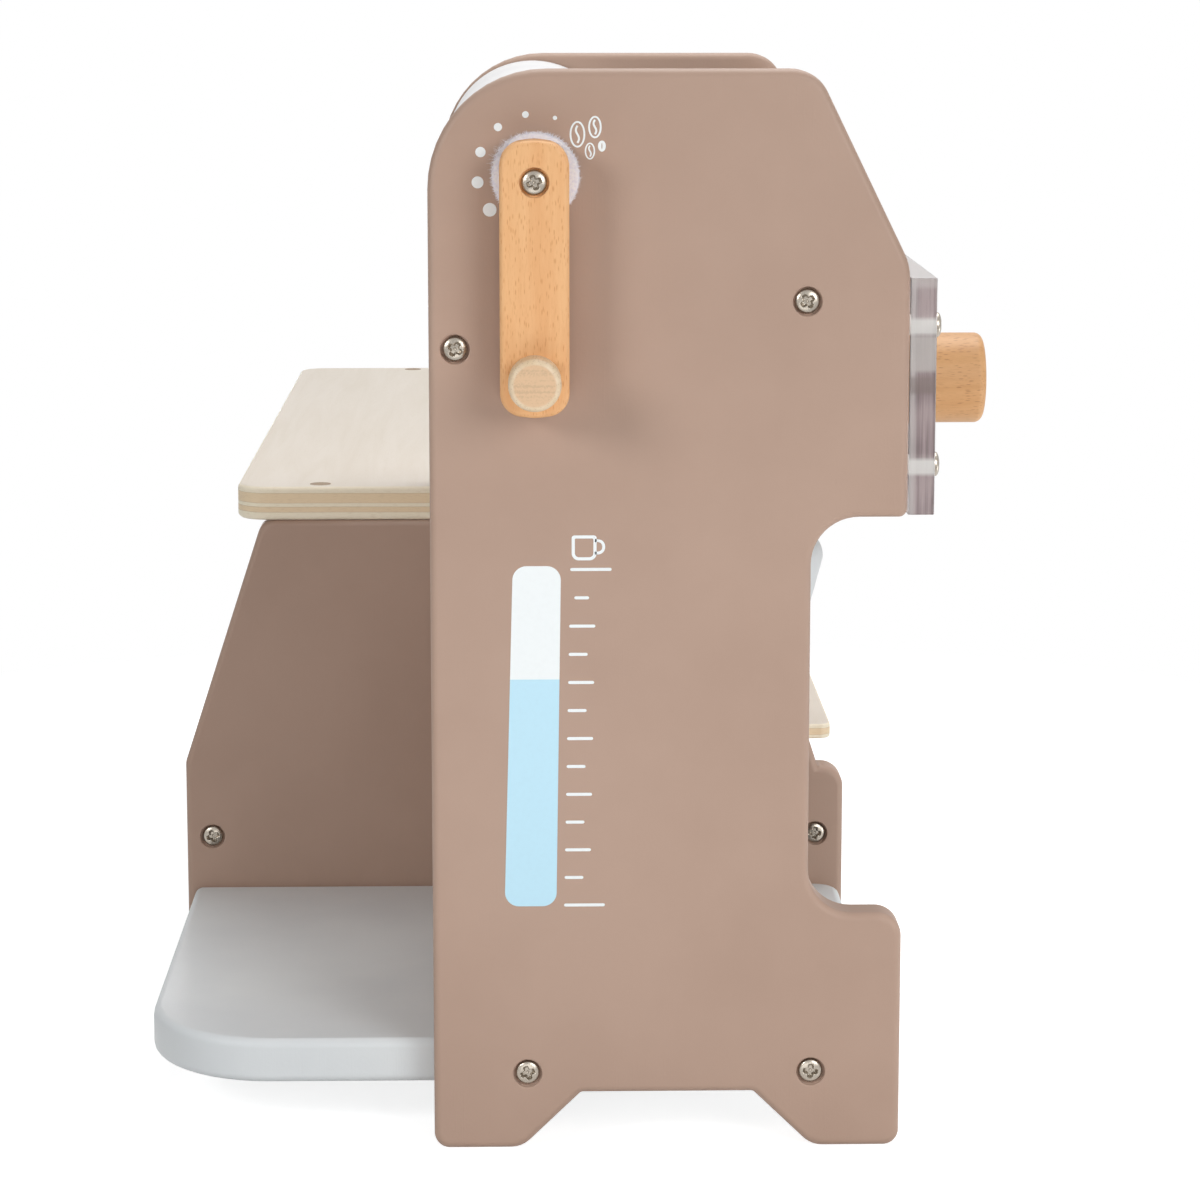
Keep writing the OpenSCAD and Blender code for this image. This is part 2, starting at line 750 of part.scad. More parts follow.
// Two thin boards that slope down from the panels to the middle of the window chamber
module chute_boards() {
    run = (bay_w - chute_mouth) / 2;
    drop = chute_t * norm([run, chute_rise]) / run;
    foot = run * drop / chute_rise;
    high = head_floor_top + chute_rise;
    wall_points = [[-bay_w / 2, high], [-bay_w / 2, high - drop]];
    mouth_points = [[-chute_mouth / 2 - foot, head_floor_top], [-chute_mouth / 2, head_floor_top]];
    color(birch)
        for (side = [0, 1])
            translate([x_left + bay_mid, y_back - back_board_front, 0])
                mirror([side, 0, 0])
                    rotate([90, 0, 0])
                        linear_extrude(head_boards_front - back_board_front)
                            polygon(concat(wall_points, mouth_points));
}

// Turned outlet: a neck in the head floor and a tapered body with a rounded shoulder
module brew_outlet() {
    top = head_floor_low - neck_l;
    low = top - outlet_l;
    tip_r = outlet_tip_d / 2;
    neck_r = outlet_neck_d / 2;
    shoulder_middle = [outlet_d / 2 - outlet_shoulder_r, top - outlet_shoulder_r];
    shoulder_start = -15;
    tip = [[0, low], [tip_r - outlet_bevel, low], [tip_r, low + outlet_bevel]];
    shoulder = arc(shoulder_middle, outlet_shoulder_r, shoulder_start, 90);
    neck = [[neck_r, top], [neck_r, head_floor_top], [0, head_floor_top]];
    color(pale_grey) difference() {
        face_up(bay_mid, outlet_f, 0) rotate_extrude() polygon(concat(tip, shoulder, neck));
        face_up(bay_mid, outlet_f, low) through_hole(outlet_bore_d, head_floor_top - low);
    }
}

module front_window() {
    color(clear_plastic, 0.4) difference() {
        board([0, head_f, window_low], [tower_w, window_front, window_top]);
        window_seats();
        face_front(bay_mid, head_f, knob_h) through_hole(bolt_d + 2 * bolt_fit, window_t);
    }
}

module window_screws() {
    color(steel)
        for (p = window_screw_places)
            face_front(p[0], window_front, p[1]) pan_screw(shank_l);
}

module front_knob() {
    knob_r = knob_d / 2;
    back_points = [[0, 0], [knob_r - knob_bevel, 0], [knob_r, knob_bevel]];
    front_points = arc([knob_r - knob_front_r, knob_l - knob_front_r], knob_front_r, 0, 90);
    color(beech) face_front(bay_mid, knob_back, knob_h) difference() {
        rotate_extrude() polygon(concat(back_points, front_points, [[0, knob_l]]));
        translate([0, 0, -cut]) cylinder(d = bolt_d + 2 * seat_fit, h = bolt_in_knob + cut);
    }
}

module knob_bolt() {
    inner = outlet_f - wheel_l / 2;
    outer = knob_back + bolt_in_knob - seat_fit;
    color(steel) face_front(bay_mid, inner, knob_h) cylinder(d = bolt_d, h = outer - inner);
}

module knob_washer() {
    color(felt_white) face_front(bay_mid, window_front + knob_gap, knob_h) difference() {
        cylinder(d = knob_washer_d, h = knob_washer_t);
        through_hole(bolt_d + 2 * seat_fit, knob_washer_t);
    }
}

// Wheel over the outlet: a bean falls into its pocket and drops out when the knob is turned
module dosing_wheel() {
    color(light_wood) face_front(bay_mid, outlet_f - wheel_l / 2, knob_h) difference() {
        cylinder(d = wheel_d, h = wheel_l);
        through_hole(bolt_d + 2 * seat_fit, wheel_l);
        translate([0, wheel_d / 2 - pocket_depth, wheel_l / 2])
            rotate([-90, 0, 0])
                cylinder(d = pocket_d, h = wheel_d);
    }
}

module drum_shell() {
    left = board_t + drum_gap;
    length = bay_w - 2 * drum_gap;
    color(pale_grey) face_right(left, axle_f, axle_h) difference() {
        cylinder(d = drum_d, h = length);
        through_hole(drum_d - 2 * drum_wall, length);
    }
}

module drum_caps() {
    left = board_t + drum_gap;
    color(pale_grey)
        for (x = [left, bay_right - drum_gap - cap_t])
            face_right(x, axle_f, axle_h) difference() {
                cylinder(d = drum_d - 2 * drum_wall - 2 * seat_fit, h = cap_t);
                through_hole(axle_d + 2 * seat_fit, cap_t);
            }
}

module drum_axle() {
    left = -felt_t - arm_gap - axle_in_arm;
    right = bay_right + axle_seat - axle_end_gap;
    shank_in_axle = shank_l - (arm_t - recess_depth - axle_in_arm);
    color(light_wood) difference() {
        face_right(left, axle_f, axle_h) cylinder(d = axle_d, h = right - left);
        face_left(left, axle_f, axle_h) fitted_hole(shank_d, shank_in_axle + seat_fit, cut);
    }
}

// The felt washer hangs a little off the axle's middle, and its hole is wide enough for that
module felt_washer() {
    hole_r = axle_d / 2 + norm([felt_lift, felt_shift]) + felt_fit;
    color(felt_white) face_left(0, axle_f + felt_shift, axle_h + felt_lift) difference() {
        cylinder(d = felt_d, h = felt_t);
        through_hole(2 * hole_r, felt_t);
    }
}

module crank_arm() {
    back = felt_t + arm_gap;
    side = arm_w / 2;
    top_points = [
        [arm_above - arm_bulge, -side, arm_top_r],
        [arm_above, 0, arm_end_r],
        [arm_above - arm_bulge, side, arm_top_r]
    ];
    low_points = [
        [arm_bulge - arm_below, side, arm_low_r],
        [-arm_below, 0, arm_end_r],
        [arm_bulge - arm_below, -side, arm_low_r]
    ];
    color(beech) face_left(-back, axle_f, axle_h) difference() {
        linear_extrude(arm_t) polygon(rounded(concat(top_points, low_points)));
        translate([0, 0, -cut]) cylinder(d = axle_d + 2 * seat_fit, h = axle_in_arm + seat_fit + cut);
        translate([0, 0, arm_t - recess_depth]) pan_seat(arm_t, recess_depth + cut);
        translate([-peg_reach, 0, arm_t]) fitted_hole(tenon_d, tenon_l, cut);
    }
}

module crank_peg() {
    arm_front = felt_t + arm_gap + arm_t;
    edge = arc([peg_d / 2 - peg_r, peg_l - peg_r], peg_r, 0, 90);
    color(light_wood) face_left(-arm_front, axle_f, axle_h) translate([-peg_reach, 0, 0]) {
        rotate_extrude() polygon(concat([[0, 0], [peg_d / 2, 0]], edge, [[0, peg_l]]));
        translate([0, 0, seat_fit - tenon_l]) cylinder(d = tenon_d, h = tenon_l);
    }
}

module crank_screw() {
    arm_front = felt_t + arm_gap + arm_t;
    color(steel) face_left(recess_depth - arm_front, axle_f, axle_h) pan_screw(shank_l);
}

module counter_floor() {
    back = base_back_setback - back_reach;
    front = head_f - base_front_setback;
    color(pale_grey) difference() {
        board([tower_w, back, floor_low], [counter_right, front, floor_top]);
        left_counter_seats();
        right_counter_seats();
    }
}

module counter_divider() {
    color(taupe) difference() {
        board([tower_w, divider_back, floor_top], [counter_right, divider_front, counter_h]);
        left_counter_seats();
        right_counter_seats();
    }
}

module counter_top() {
    back = counter_back - top_overhang;
    front = counter_front + top_overhang;
    color(birch) difference() {
        level(counter_h, top_t)
            polygon(rounded([
                [bay_right, back, top_corner_r], [body_w, back, top_corner_r],
                [body_w, front, top_corner_r], [tower_w + top_gap, front, top_inner_r],
                [tower_w + top_gap, -top_gap, 0], [bay_right, -top_gap, 0]
            ]));
        counter_top_seats();
    }
}

module counter_plugs() {
    color(light_wood)
        for (p = counter_top_screw_places)
            face_up(p[0], p[1], counter_h + top_t - plug_t) cylinder(d = plug_d, h = plug_t);
}

module counter_screws() {
    color(steel)
        for (p = counter_top_screw_places)
            face_up(p[0], p[1], counter_h + top_t - plug_t) flat_screw();
}

// Thin shelf with a tongue at each side in the panels' grooves and a lip out in front
module tray_shelf() {
    lip = head_f - tray_setback;
    edge = foot_back_f - (tray_top - foot_h) * lean_ratio - tongue_setback;
    left = tower_w + tray_side_gap;
    right = counter_right - tray_side_gap;
    tongue_left = tower_w - groove_depth + tongue_gap;
    tongue_right = counter_right + groove_depth - tongue_gap;
    back_points = [
        [tongue_left, edge, 0],
        [tongue_left, divider_front, 0],
        [tongue_right, divider_front, 0]
    ];
    right_points = [[tongue_right, edge, 0], [right, edge, 0], [right, lip, tray_corner_r]];
    left_points = [[left, lip, tray_corner_r], [left, edge, 0]];
    color(birch) level(tray_low, tray_t) polygon(rounded(concat(back_points, right_points, left_points)));
}

module tower_dowels() {
    length = dowel_in_panel + dowel_in_board;
    color(light_wood)
        for (p = dowel_places) {
            face_right(board_t - dowel_in_panel, p[0], p[1]) cylinder(d = dowel_d, h = length);
            face_left(bay_right + dowel_in_panel, p[0], p[1]) cylinder(d = dowel_d, h = length);
        }
}

module back_board_screws() {
    color(steel)
        for (p = back_board_screw_places)
            face_down(p[0], p[1], base_low) flat_screw();
}

module left_panel_screws() {
    color(steel)
        for (p = tower_screw_places)
            face_left(recess_depth, p[0], p[1]) pan_screw(shank_l);
}

module middle_panel_left_screws() {
    color(steel)
        for (p = counter_screw_places)
            face_left(bay_right + recess_depth, p[0], p[1]) pan_screw(shank_l);
}

module middle_panel_right_screws() {
    color(steel)
        for (p = reach_screw_places)
            face_right(tower_w - recess_depth, p[0], p[1]) pan_screw(shank_l);
}

module right_panel_screws() {
    color(steel)
        for (p = counter_screw_places)
            face_right(body_w - recess_depth, p[0], p[1]) pan_screw(shank_l);
}

left_panel();
middle_panel();
right_panel();
base_plate();
back_board();
head_floor();
hopper_floor();
slope_board();
chute_boards();
brew_outlet();
front_window();
window_screws();
front_knob();
knob_bolt();
knob_washer();
dosing_wheel();
drum_shell();
drum_caps();
drum_axle();
felt_washer();
crank_arm();
crank_peg();
crank_screw();
counter_floor();
counter_divider();
counter_top();
counter_plugs();
counter_screws();
tray_shelf();
tower_dowels();
back_board_screws();
left_panel_screws();
middle_panel_left_screws();
middle_panel_right_screws();
right_panel_screws();
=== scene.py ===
import math
import random

import bmesh
import bpy
from mathutils import Matrix, Vector, noise


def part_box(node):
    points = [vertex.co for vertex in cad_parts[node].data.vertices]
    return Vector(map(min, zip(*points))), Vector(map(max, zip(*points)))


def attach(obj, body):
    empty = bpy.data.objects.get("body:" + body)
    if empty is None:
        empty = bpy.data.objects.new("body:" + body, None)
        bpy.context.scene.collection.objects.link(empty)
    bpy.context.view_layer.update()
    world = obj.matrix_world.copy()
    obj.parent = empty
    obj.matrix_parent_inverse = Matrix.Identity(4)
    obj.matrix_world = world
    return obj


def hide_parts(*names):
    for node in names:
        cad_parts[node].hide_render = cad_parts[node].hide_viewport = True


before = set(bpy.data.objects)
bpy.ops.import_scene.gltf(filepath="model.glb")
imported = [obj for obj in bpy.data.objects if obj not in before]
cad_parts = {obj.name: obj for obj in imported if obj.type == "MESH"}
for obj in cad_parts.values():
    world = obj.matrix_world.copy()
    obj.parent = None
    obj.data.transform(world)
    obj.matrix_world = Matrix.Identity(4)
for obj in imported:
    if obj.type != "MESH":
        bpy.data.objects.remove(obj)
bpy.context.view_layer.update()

# Places are given like a drawing of the left side: across from the left panel's outer face,
# forward from the tower's back edge, and height over the floor, all in millimetres
mm = 0.001
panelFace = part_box("left_panel")[0][0]
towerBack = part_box("left_panel")[1][1]


def place(across, forward, height):
    return Vector((panelFace + across * mm, towerBack - forward * mm, height * mm))


def polar(r, angle):
    return r * math.cos(angle), r * math.sin(angle)


# Camera: long lens, a little above the toy and tilted down
cameraSettings = {
    "place": (-930, 27.3, 336.8),
    "tiltDown": 8.832,  # degrees
    "turnForward": 1.266,
    "lens": 100.6,
    "filmWidth": 36,
    "shiftDown": 0.09,
    "farLimit": 20,  # metres
}


def makeCamera(s):
    tilt = math.radians(s["tiltDown"])
    turn = math.radians(s["turnForward"])
    ahead = Vector((math.cos(tilt) * math.cos(turn), -math.cos(tilt) * math.sin(turn),
                    -math.sin(tilt)))
    data = bpy.data.cameras.new("sideCamera")
    data.lens = s["lens"]
    data.sensor_width = s["filmWidth"]
    data.shift_y = -s["shiftDown"]
    data.clip_end = s["farLimit"]
    camera = bpy.data.objects.new("sideCamera", data)
    camera.location = place(*s["place"])
    camera.rotation_euler = ahead.to_track_quat("-Z", "Y").to_euler()
    bpy.context.collection.objects.link(camera)
    bpy.context.scene.camera = camera
    bpy.context.scene.view_settings.view_transform = "Standard"


makeCamera(cameraSettings)
print("camera set")


# Materials: each is built from nodes, with patterns sized from real millimetres

def linear(value, dim=1):
    # turns an sRGB hex colour linear, dimmed if asked, and leaves any other value as it is
    if not isinstance(value, str):
        return value
    parts = [int(value[i:i + 2], 16) / 255 for i in (1, 3, 5)]
    return [dim * (c / 12.92 if c <= 0.04045 else ((c + 0.055) / 1.055) ** 2.4)
            for c in parts] + [1]


def perMetre(*millimetres):
    return [1000 / size for size in millimetres]


def addNode(tree, kind, settings=None, links=None):
    # a link comes from an output, or from a node, which stands for its first output
    node = tree.nodes.new("ShaderNode" + kind)
    for name, value in (settings or {}).items():
        if name == "stops":
            ramp = node.color_ramp
            while len(ramp.elements) < len(value):
                ramp.elements.new(0.5)
            for element, (position, color) in zip(ramp.elements, value):
                element.position = position
                element.color = linear(color)
        elif isinstance(name, int) or name in node.inputs:
            node.inputs[name].default_value = linear(value)
        else:
            setattr(node, name, value)
    for name, source in (links or {}).items():
        output = source.outputs[0] if isinstance(source, bpy.types.Node) else source
        tree.links.new(output, node.inputs[name])
    return node


def newMaterial(name):
    material = bpy.data.materials.new(name)
    material.use_nodes = True
    tree = material.node_tree
    tree.nodes.clear()
    return material, tree, addNode(tree, "TexCoord").outputs["Object"]


def withSurface(material, shader):
    addNode(material.node_tree, "OutputMaterial", {}, {"Surface": shader})
    return material


# Water-based matte lacquer rolled on a sanded board: even colour, soft sheen, faint roller
# texture and here and there a raised wood fibre under the paint
rolledPaint = {
    "taupe": {"name": "rolledTaupeLacquer", "color": "#B49887", "darker": "#AF9382",
              "roughness": 0.52},
    "paleGrey": {"name": "rolledPaleGreyLacquer", "color": "#DFE3E4", "darker": "#D9DDDF",
                 "roughness": 0.45},
    "white": {"name": "rolledWhiteLacquer", "color": "#EDECEC", "darker": "#E6E5E6",
              "roughness": 0.35},
    "rollerGrain": 0.9,  # millimetres between the tops of the roller texture
    "fibreWidth": 0.5,  # millimetres
    "fibreLength": 22,
    "patch": 45,  # millimetres, slow change of tone
}


def makePaint(s, tone):
    t = s[tone]
    material, tree, point = newMaterial(t["name"])
    patch = addNode(tree, "TexNoise", {"Scale": 1000 / s["patch"], "Detail": 3},
                    {"Vector": point})
    color = addNode(tree, "ValToRGB", {"stops": [(0.35, t["darker"]), (0.65, t["color"])]},
                    {"Fac": patch})
    roller = addNode(tree, "TexNoise", {"Scale": 1000 / s["rollerGrain"], "Detail": 2},
                     {"Vector": point})
    stretch = addNode(tree, "Mapping",
                      {"Scale": perMetre(s["fibreWidth"], s["fibreWidth"], s["fibreLength"])},
                      {"Vector": point})
    fibre = addNode(tree, "TexNoise", {"Scale": 1, "Detail": 1}, {"Vector": stretch})
    raised = addNode(tree, "MapRange", {"From Min": 0.62, "From Max": 0.8, "To Max": 0.6},
                     {"Value": fibre})
    height = addNode(tree, "Math", {"operation": "ADD"}, {0: roller, 1: raised})
    bump = addNode(tree, "Bump", {"Strength": 0.12, "Distance": 0.00025}, {"Height": height})
    rough = addNode(tree, "MapRange",
                    {"To Min": t["roughness"] - 0.05, "To Max": t["roughness"] + 0.08},
                    {"Value": roller})
    paint = addNode(tree, "BsdfPrincipled", {"IOR": 1.48},
                    {"Base Color": color, "Roughness": rough, "Normal": bump})
    return withSurface(material, paint)


# Oiled steamed beech: pinkish tan with short dark flecks that run with the grain, a soft
# change of tone across the rings, and a low sheen from sanding and oil
oiledBeech = {
    "light": "#F2C08A",
    "dark": "#E7AC75",
    "fleck": "#CC8448",
    "end": "#D9A470",
    "endShade": 0.86,  # tone of the saw's lines in the end grain
    "fleckSize": (0.62, 3.4),  # millimetres between flecks across and along the grain
    "fleckStrength": 0.62,
    "ringSize": (5.5, 90),
    "ringWobble": 60,  # to the metre
    "poreSize": (0.22, 3.2),
    "sawLine": (30, 0.7),  # millimetres along one line, and from line to line
    "speckle": 0.55,
    "roughness": 0.5,
}

# The knob is turned from paler beech and polished on the lathe
turnedBeech = dict(oiledBeech, light="#E2B17E", dark="#D09A64", fleck="#A56C3D", roughness=0.46)

# Clear lacquered birch rod: straight fine pores, almost no rings, and a stippled end
lacqueredBirch = dict(
    oiledBeech, light="#EDD9BC", dark="#E2C9A6", fleck="#BFA079", end="#DFBC97",
    fleckSize=(0.6, 4.5), fleckStrength=0.7, ringSize=(3.5, 60), roughness=0.45)

# The plugs show their end grain, which has drunk the lacquer and gone brown
plugBirch = dict(lacqueredBirch, light="#B79D7C", dark="#A38767", end="#9C8263")


def makeRod(s, name, grainAxis):
    material, tree, point = newMaterial(name)

    def stretched(size, axis=grainAxis):
        scale = perMetre(size[0], size[0], size[0])
        scale[axis] = 1000 / size[1]
        return addNode(tree, "Mapping", {"Scale": scale}, {"Vector": point})

    wobble = addNode(tree, "TexNoise", {"Scale": s["ringWobble"], "Detail": 2}, {"Vector": point})
    shifted = addNode(tree, "MixRGB", {"blend_type": "LINEAR_LIGHT", "Fac": 0.25},
                      {"Color1": stretched(s["ringSize"]), "Color2": wobble.outputs["Color"]})
    rings = addNode(tree, "TexNoise", {"Scale": 1, "Detail": 4, "Roughness": 0.6},
                    {"Vector": shifted})
    tone = addNode(tree, "ValToRGB", {"stops": [(0.3, s["dark"]), (0.68, s["light"])]},
                   {"Fac": rings})
    fleckCells = addNode(tree, "TexVoronoi", {"Scale": 1, "Randomness": 1},
                         {"Vector": stretched(s["fleckSize"])})
    fleck = addNode(tree, "MapRange",
                    {"From Min": 0.3, "From Max": 0.14, "To Max": s["fleckStrength"]},
                    {"Value": fleckCells})
    pore = addNode(tree, "TexNoise", {"Scale": 1, "Detail": 2},
                   {"Vector": stretched(s["poreSize"])})
    poreDark = addNode(tree, "MapRange", {"From Min": 0.56, "From Max": 0.72, "To Max": 0.28},
                       {"Value": pore})
    both = addNode(tree, "Math", {"operation": "MAXIMUM"}, {0: fleck, 1: poreDark})
    sideColor = addNode(tree, "MixRGB", {"Color2": s["fleck"]},
                        {"Fac": both, "Color1": tone})

    # Sawn ends: darker end grain with faint lines that the saw left
    sawMap = stretched(s["sawLine"], 1 if grainAxis == 2 else 2)
    saw = addNode(tree, "TexNoise", {"Scale": 1, "Detail": 3}, {"Vector": sawMap})
    speckle = addNode(tree, "TexNoise", {"Scale": 1000 / s["speckle"], "Detail": 2},
                      {"Vector": point})
    sawn = addNode(tree, "MixRGB", {"Fac": 0.45}, {"Color1": saw, "Color2": speckle})
    endDark = linear(s["end"], s["endShade"])
    endColor = addNode(tree, "ValToRGB", {"stops": [(0.4, endDark), (0.54, s["end"])]},
                       {"Fac": sawn})
    normal = addNode(tree, "TexCoord").outputs["Normal"]
    facing = addNode(tree, "SeparateXYZ", {}, {"Vector": normal})
    along = addNode(tree, "Math", {"operation": "ABSOLUTE"}, {0: facing.outputs[grainAxis]})
    isEnd = addNode(tree, "MapRange", {"From Min": 0.93, "From Max": 0.99}, {"Value": along})
    color = addNode(tree, "MixRGB", {}, {"Fac": isEnd, "Color1": sideColor, "Color2": endColor})
    bump = addNode(tree, "Bump", {"Strength": 0.1, "Distance": 0.0001, "invert": True},
                   {"Height": both})
    rough = addNode(tree, "MapRange",
                    {"To Min": s["roughness"] - 0.06, "To Max": s["roughness"] + 0.1},
                    {"Value": rings})
    wood = addNode(tree, "BsdfPrincipled", {"IOR": 1.47},
                   {"Base Color": color, "Roughness": rough, "Normal": bump})
    return withSurface(material, wood)


# Birch plywood with clear matte lacquer: pale rotary-cut veneer on the faces, and on the
# edges bands of long grain (light) and end grain (darker) with thin glue lines between
birchPlywood = {
    "face": "#EDE3D6",
    "faceShade": "#E7DCCD",
    "faceStreak": "#D8C6AC",
    "longGrain": "#FFF4DC",
    "endGrain": "#F6DFBB",
    "glueLine": "#C9AC84",
    "glueWidth": 0.16,  # millimetres
    # sizes of the patterns across, forward and up, in millimetres
    "veneer": (120, 9, 9),
    "facePore": (5, 0.35, 0.35),
    "plyWave": (35, 35, 60),
    "edgeGrain": (2.5, 2.5, 0.3),
    "waveHeight": 0.5,  # millimetres
    "roughness": 0.5,
}


def makePlywood(s, name, bottom, edges):
    # edges: heights in millimetres over the board's underside where one ply meets the next
    material, tree, point = newMaterial(name)
    veneerMap = addNode(tree, "Mapping", {"Scale": perMetre(*s["veneer"])}, {"Vector": point})
    veneer = addNode(tree, "TexNoise",
                     {"Scale": 1, "Detail": 5, "Roughness": 0.62, "Distortion": 0.6},
                     {"Vector": veneerMap})
    veneerTone = addNode(tree, "ValToRGB", {"stops": [(0.3, s["faceShade"]), (0.62, s["face"])]},
                         {"Fac": veneer})
    poreMap = addNode(tree, "Mapping", {"Scale": perMetre(*s["facePore"])}, {"Vector": point})
    pore = addNode(tree, "TexNoise", {"Scale": 1, "Detail": 2}, {"Vector": poreMap})
    poreAmount = addNode(tree, "MapRange", {"From Min": 0.58, "From Max": 0.8, "To Max": 0.25},
                         {"Value": pore})
    faceColor = addNode(tree, "MixRGB", {"Color2": s["faceStreak"]},
                        {"Fac": poreAmount, "Color1": veneerTone})

    # Height through the sheet, with a slight waviness so that the plies aren't ruler straight
    waveMap = addNode(tree, "Mapping", {"Scale": perMetre(*s["plyWave"])}, {"Vector": point})
    wave = addNode(tree, "TexNoise", {"Scale": 1, "Detail": 1}, {"Vector": waveMap})
    waveHeight = addNode(tree, "Math",
                         {"operation": "MULTIPLY_ADD", 1: s["waveHeight"],
                          2: -s["waveHeight"] / 2 - bottom / mm}, {0: wave})
    axes = addNode(tree, "SeparateXYZ", {}, {"Vector": point})
    height = addNode(tree, "Math", {"operation": "MULTIPLY_ADD", 1: 1 / mm},
                     {0: axes.outputs["Z"], 2: waveHeight})
    top = edges[-1]
    half = s["glueWidth"] / 2
    stops = []
    for index, (low, high) in enumerate(zip(edges[:-1], edges[1:])):
        ply = s["longGrain"] if index % 2 == 0 else s["endGrain"]
        stops.append(((low + half) / top if index else 0, ply))
        if high < top:
            stops.append(((high - half) / top, ply))
            stops.append((high / top, s["glueLine"]))
        else:
            stops.append((1, ply))
    through = addNode(tree, "Math", {"operation": "DIVIDE", 1: top}, {0: height})
    plies = addNode(tree, "ValToRGB", {"stops": stops}, {"Fac": through})
    edgeMap = addNode(tree, "Mapping", {"Scale": perMetre(*s["edgeGrain"])}, {"Vector": point})
    edgeNoise = addNode(tree, "TexNoise", {"Scale": 1, "Detail": 3}, {"Vector": edgeMap})
    edgeDark = addNode(tree, "MapRange", {"From Min": 0.5, "From Max": 0.75, "To Max": 0.25},
                       {"Value": edgeNoise})
    edgeColor = addNode(tree, "MixRGB", {"Color2": s["glueLine"]},
                        {"Fac": edgeDark, "Color1": plies})
    normal = addNode(tree, "NewGeometry").outputs["Normal"]
    lean = addNode(tree, "SeparateXYZ", {}, {"Vector": normal})
    upright = addNode(tree, "Math", {"operation": "ABSOLUTE"}, {0: lean.outputs["Z"]})
    isFace = addNode(tree, "MapRange", {"From Min": 0.75, "From Max": 0.97}, {"Value": upright})
    color = addNode(tree, "MixRGB", {}, {"Fac": isFace, "Color1": edgeColor, "Color2": faceColor})
    bump = addNode(tree, "Bump", {"Strength": 0.2, "Distance": 0.0001, "invert": True},
                   {"Height": edgeDark})
    ply = addNode(tree, "BsdfPrincipled", {"IOR": 1.47, "Roughness": s["roughness"]},
                  {"Base Color": color, "Normal": bump})
    return withSurface(material, ply)


# Pressed wool felt: matt off-white with a cool cast, clumped fibres and a soft edge sheen
pressedFelt = {"light": "#FCFCFF", "dark": "#EAEAF8", "clump": 0.9, "roughness": 0.95}


def makeFelt(s):
    material, tree, point = newMaterial("pressedWoolFelt")
    clump = addNode(tree, "TexNoise", {"Scale": 1000 / s["clump"], "Detail": 6, "Roughness": 0.7},
                    {"Vector": point})
    color = addNode(tree, "ValToRGB", {"stops": [(0.35, s["dark"]), (0.62, s["light"])]},
                    {"Fac": clump})
    bump = addNode(tree, "Bump", {"Strength": 0.7, "Distance": 0.0004}, {"Height": clump})
    felt = addNode(tree, "BsdfPrincipled",
                   {"Roughness": s["roughness"], "Sheen Weight": 0.35, "Sheen Roughness": 0.4},
                   {"Base Color": color, "Normal": bump})
    return withSurface(material, felt)


# Clear cast acrylic sheet: polished faces, sawn and sanded edges that look slightly milky
clearAcrylic = {
    "tint": "#F7F6F9",
    "ior": 1.49,
    "polished": 0.02,
    "sawn": 0.4,
    "sawMark": (3, 0.7, 40),  # millimetres between the saw's streaks across, forward and up
    "cloud": 14,  # millimetres
    # end and endDark: dark mauve tones painted on the sawn ends as shade, for the dim look through
    # the sheet's length
    "end": "#9E8C8C",
    "endDark": "#695658",
    "endVeil": 0.85,
    # grey painted on the sheet's upward face as shade
    "paintedTopShade": "#C8C5C4",
    # a lighter strip painted along the back edge of the sawn ends as a highlight
    "backEdgeHighlight": "#C4C1BE",
    "backEdgeWidth": (2.4, 1.2),  # millimetres from the back, where the painted highlight starts and is full
    "backEdgeShare": 0.45,
    # painted see-through bands on the sawn ends, light for the bores and the haze, dark for the
    # bolt's painted shadow: height, half height, colour and strength of each band
    "paintedSeeThroughBands": [(231.0, 5.0, "#B7B1AC", 0.75), (222.2, 2.4, "#6A5A52", 0.6),
              (252.5, 3.0, "#BDB7B3", 0.5), (238.65, 2.2, "#D6D4D0", 0.85),
              (199.05, 2.2, "#D6D4D0", 0.85)],
    "bandBlur": 0.6,  # millimetres
    "lampShare": 0.85,  # how much of the lamps' light goes through
}


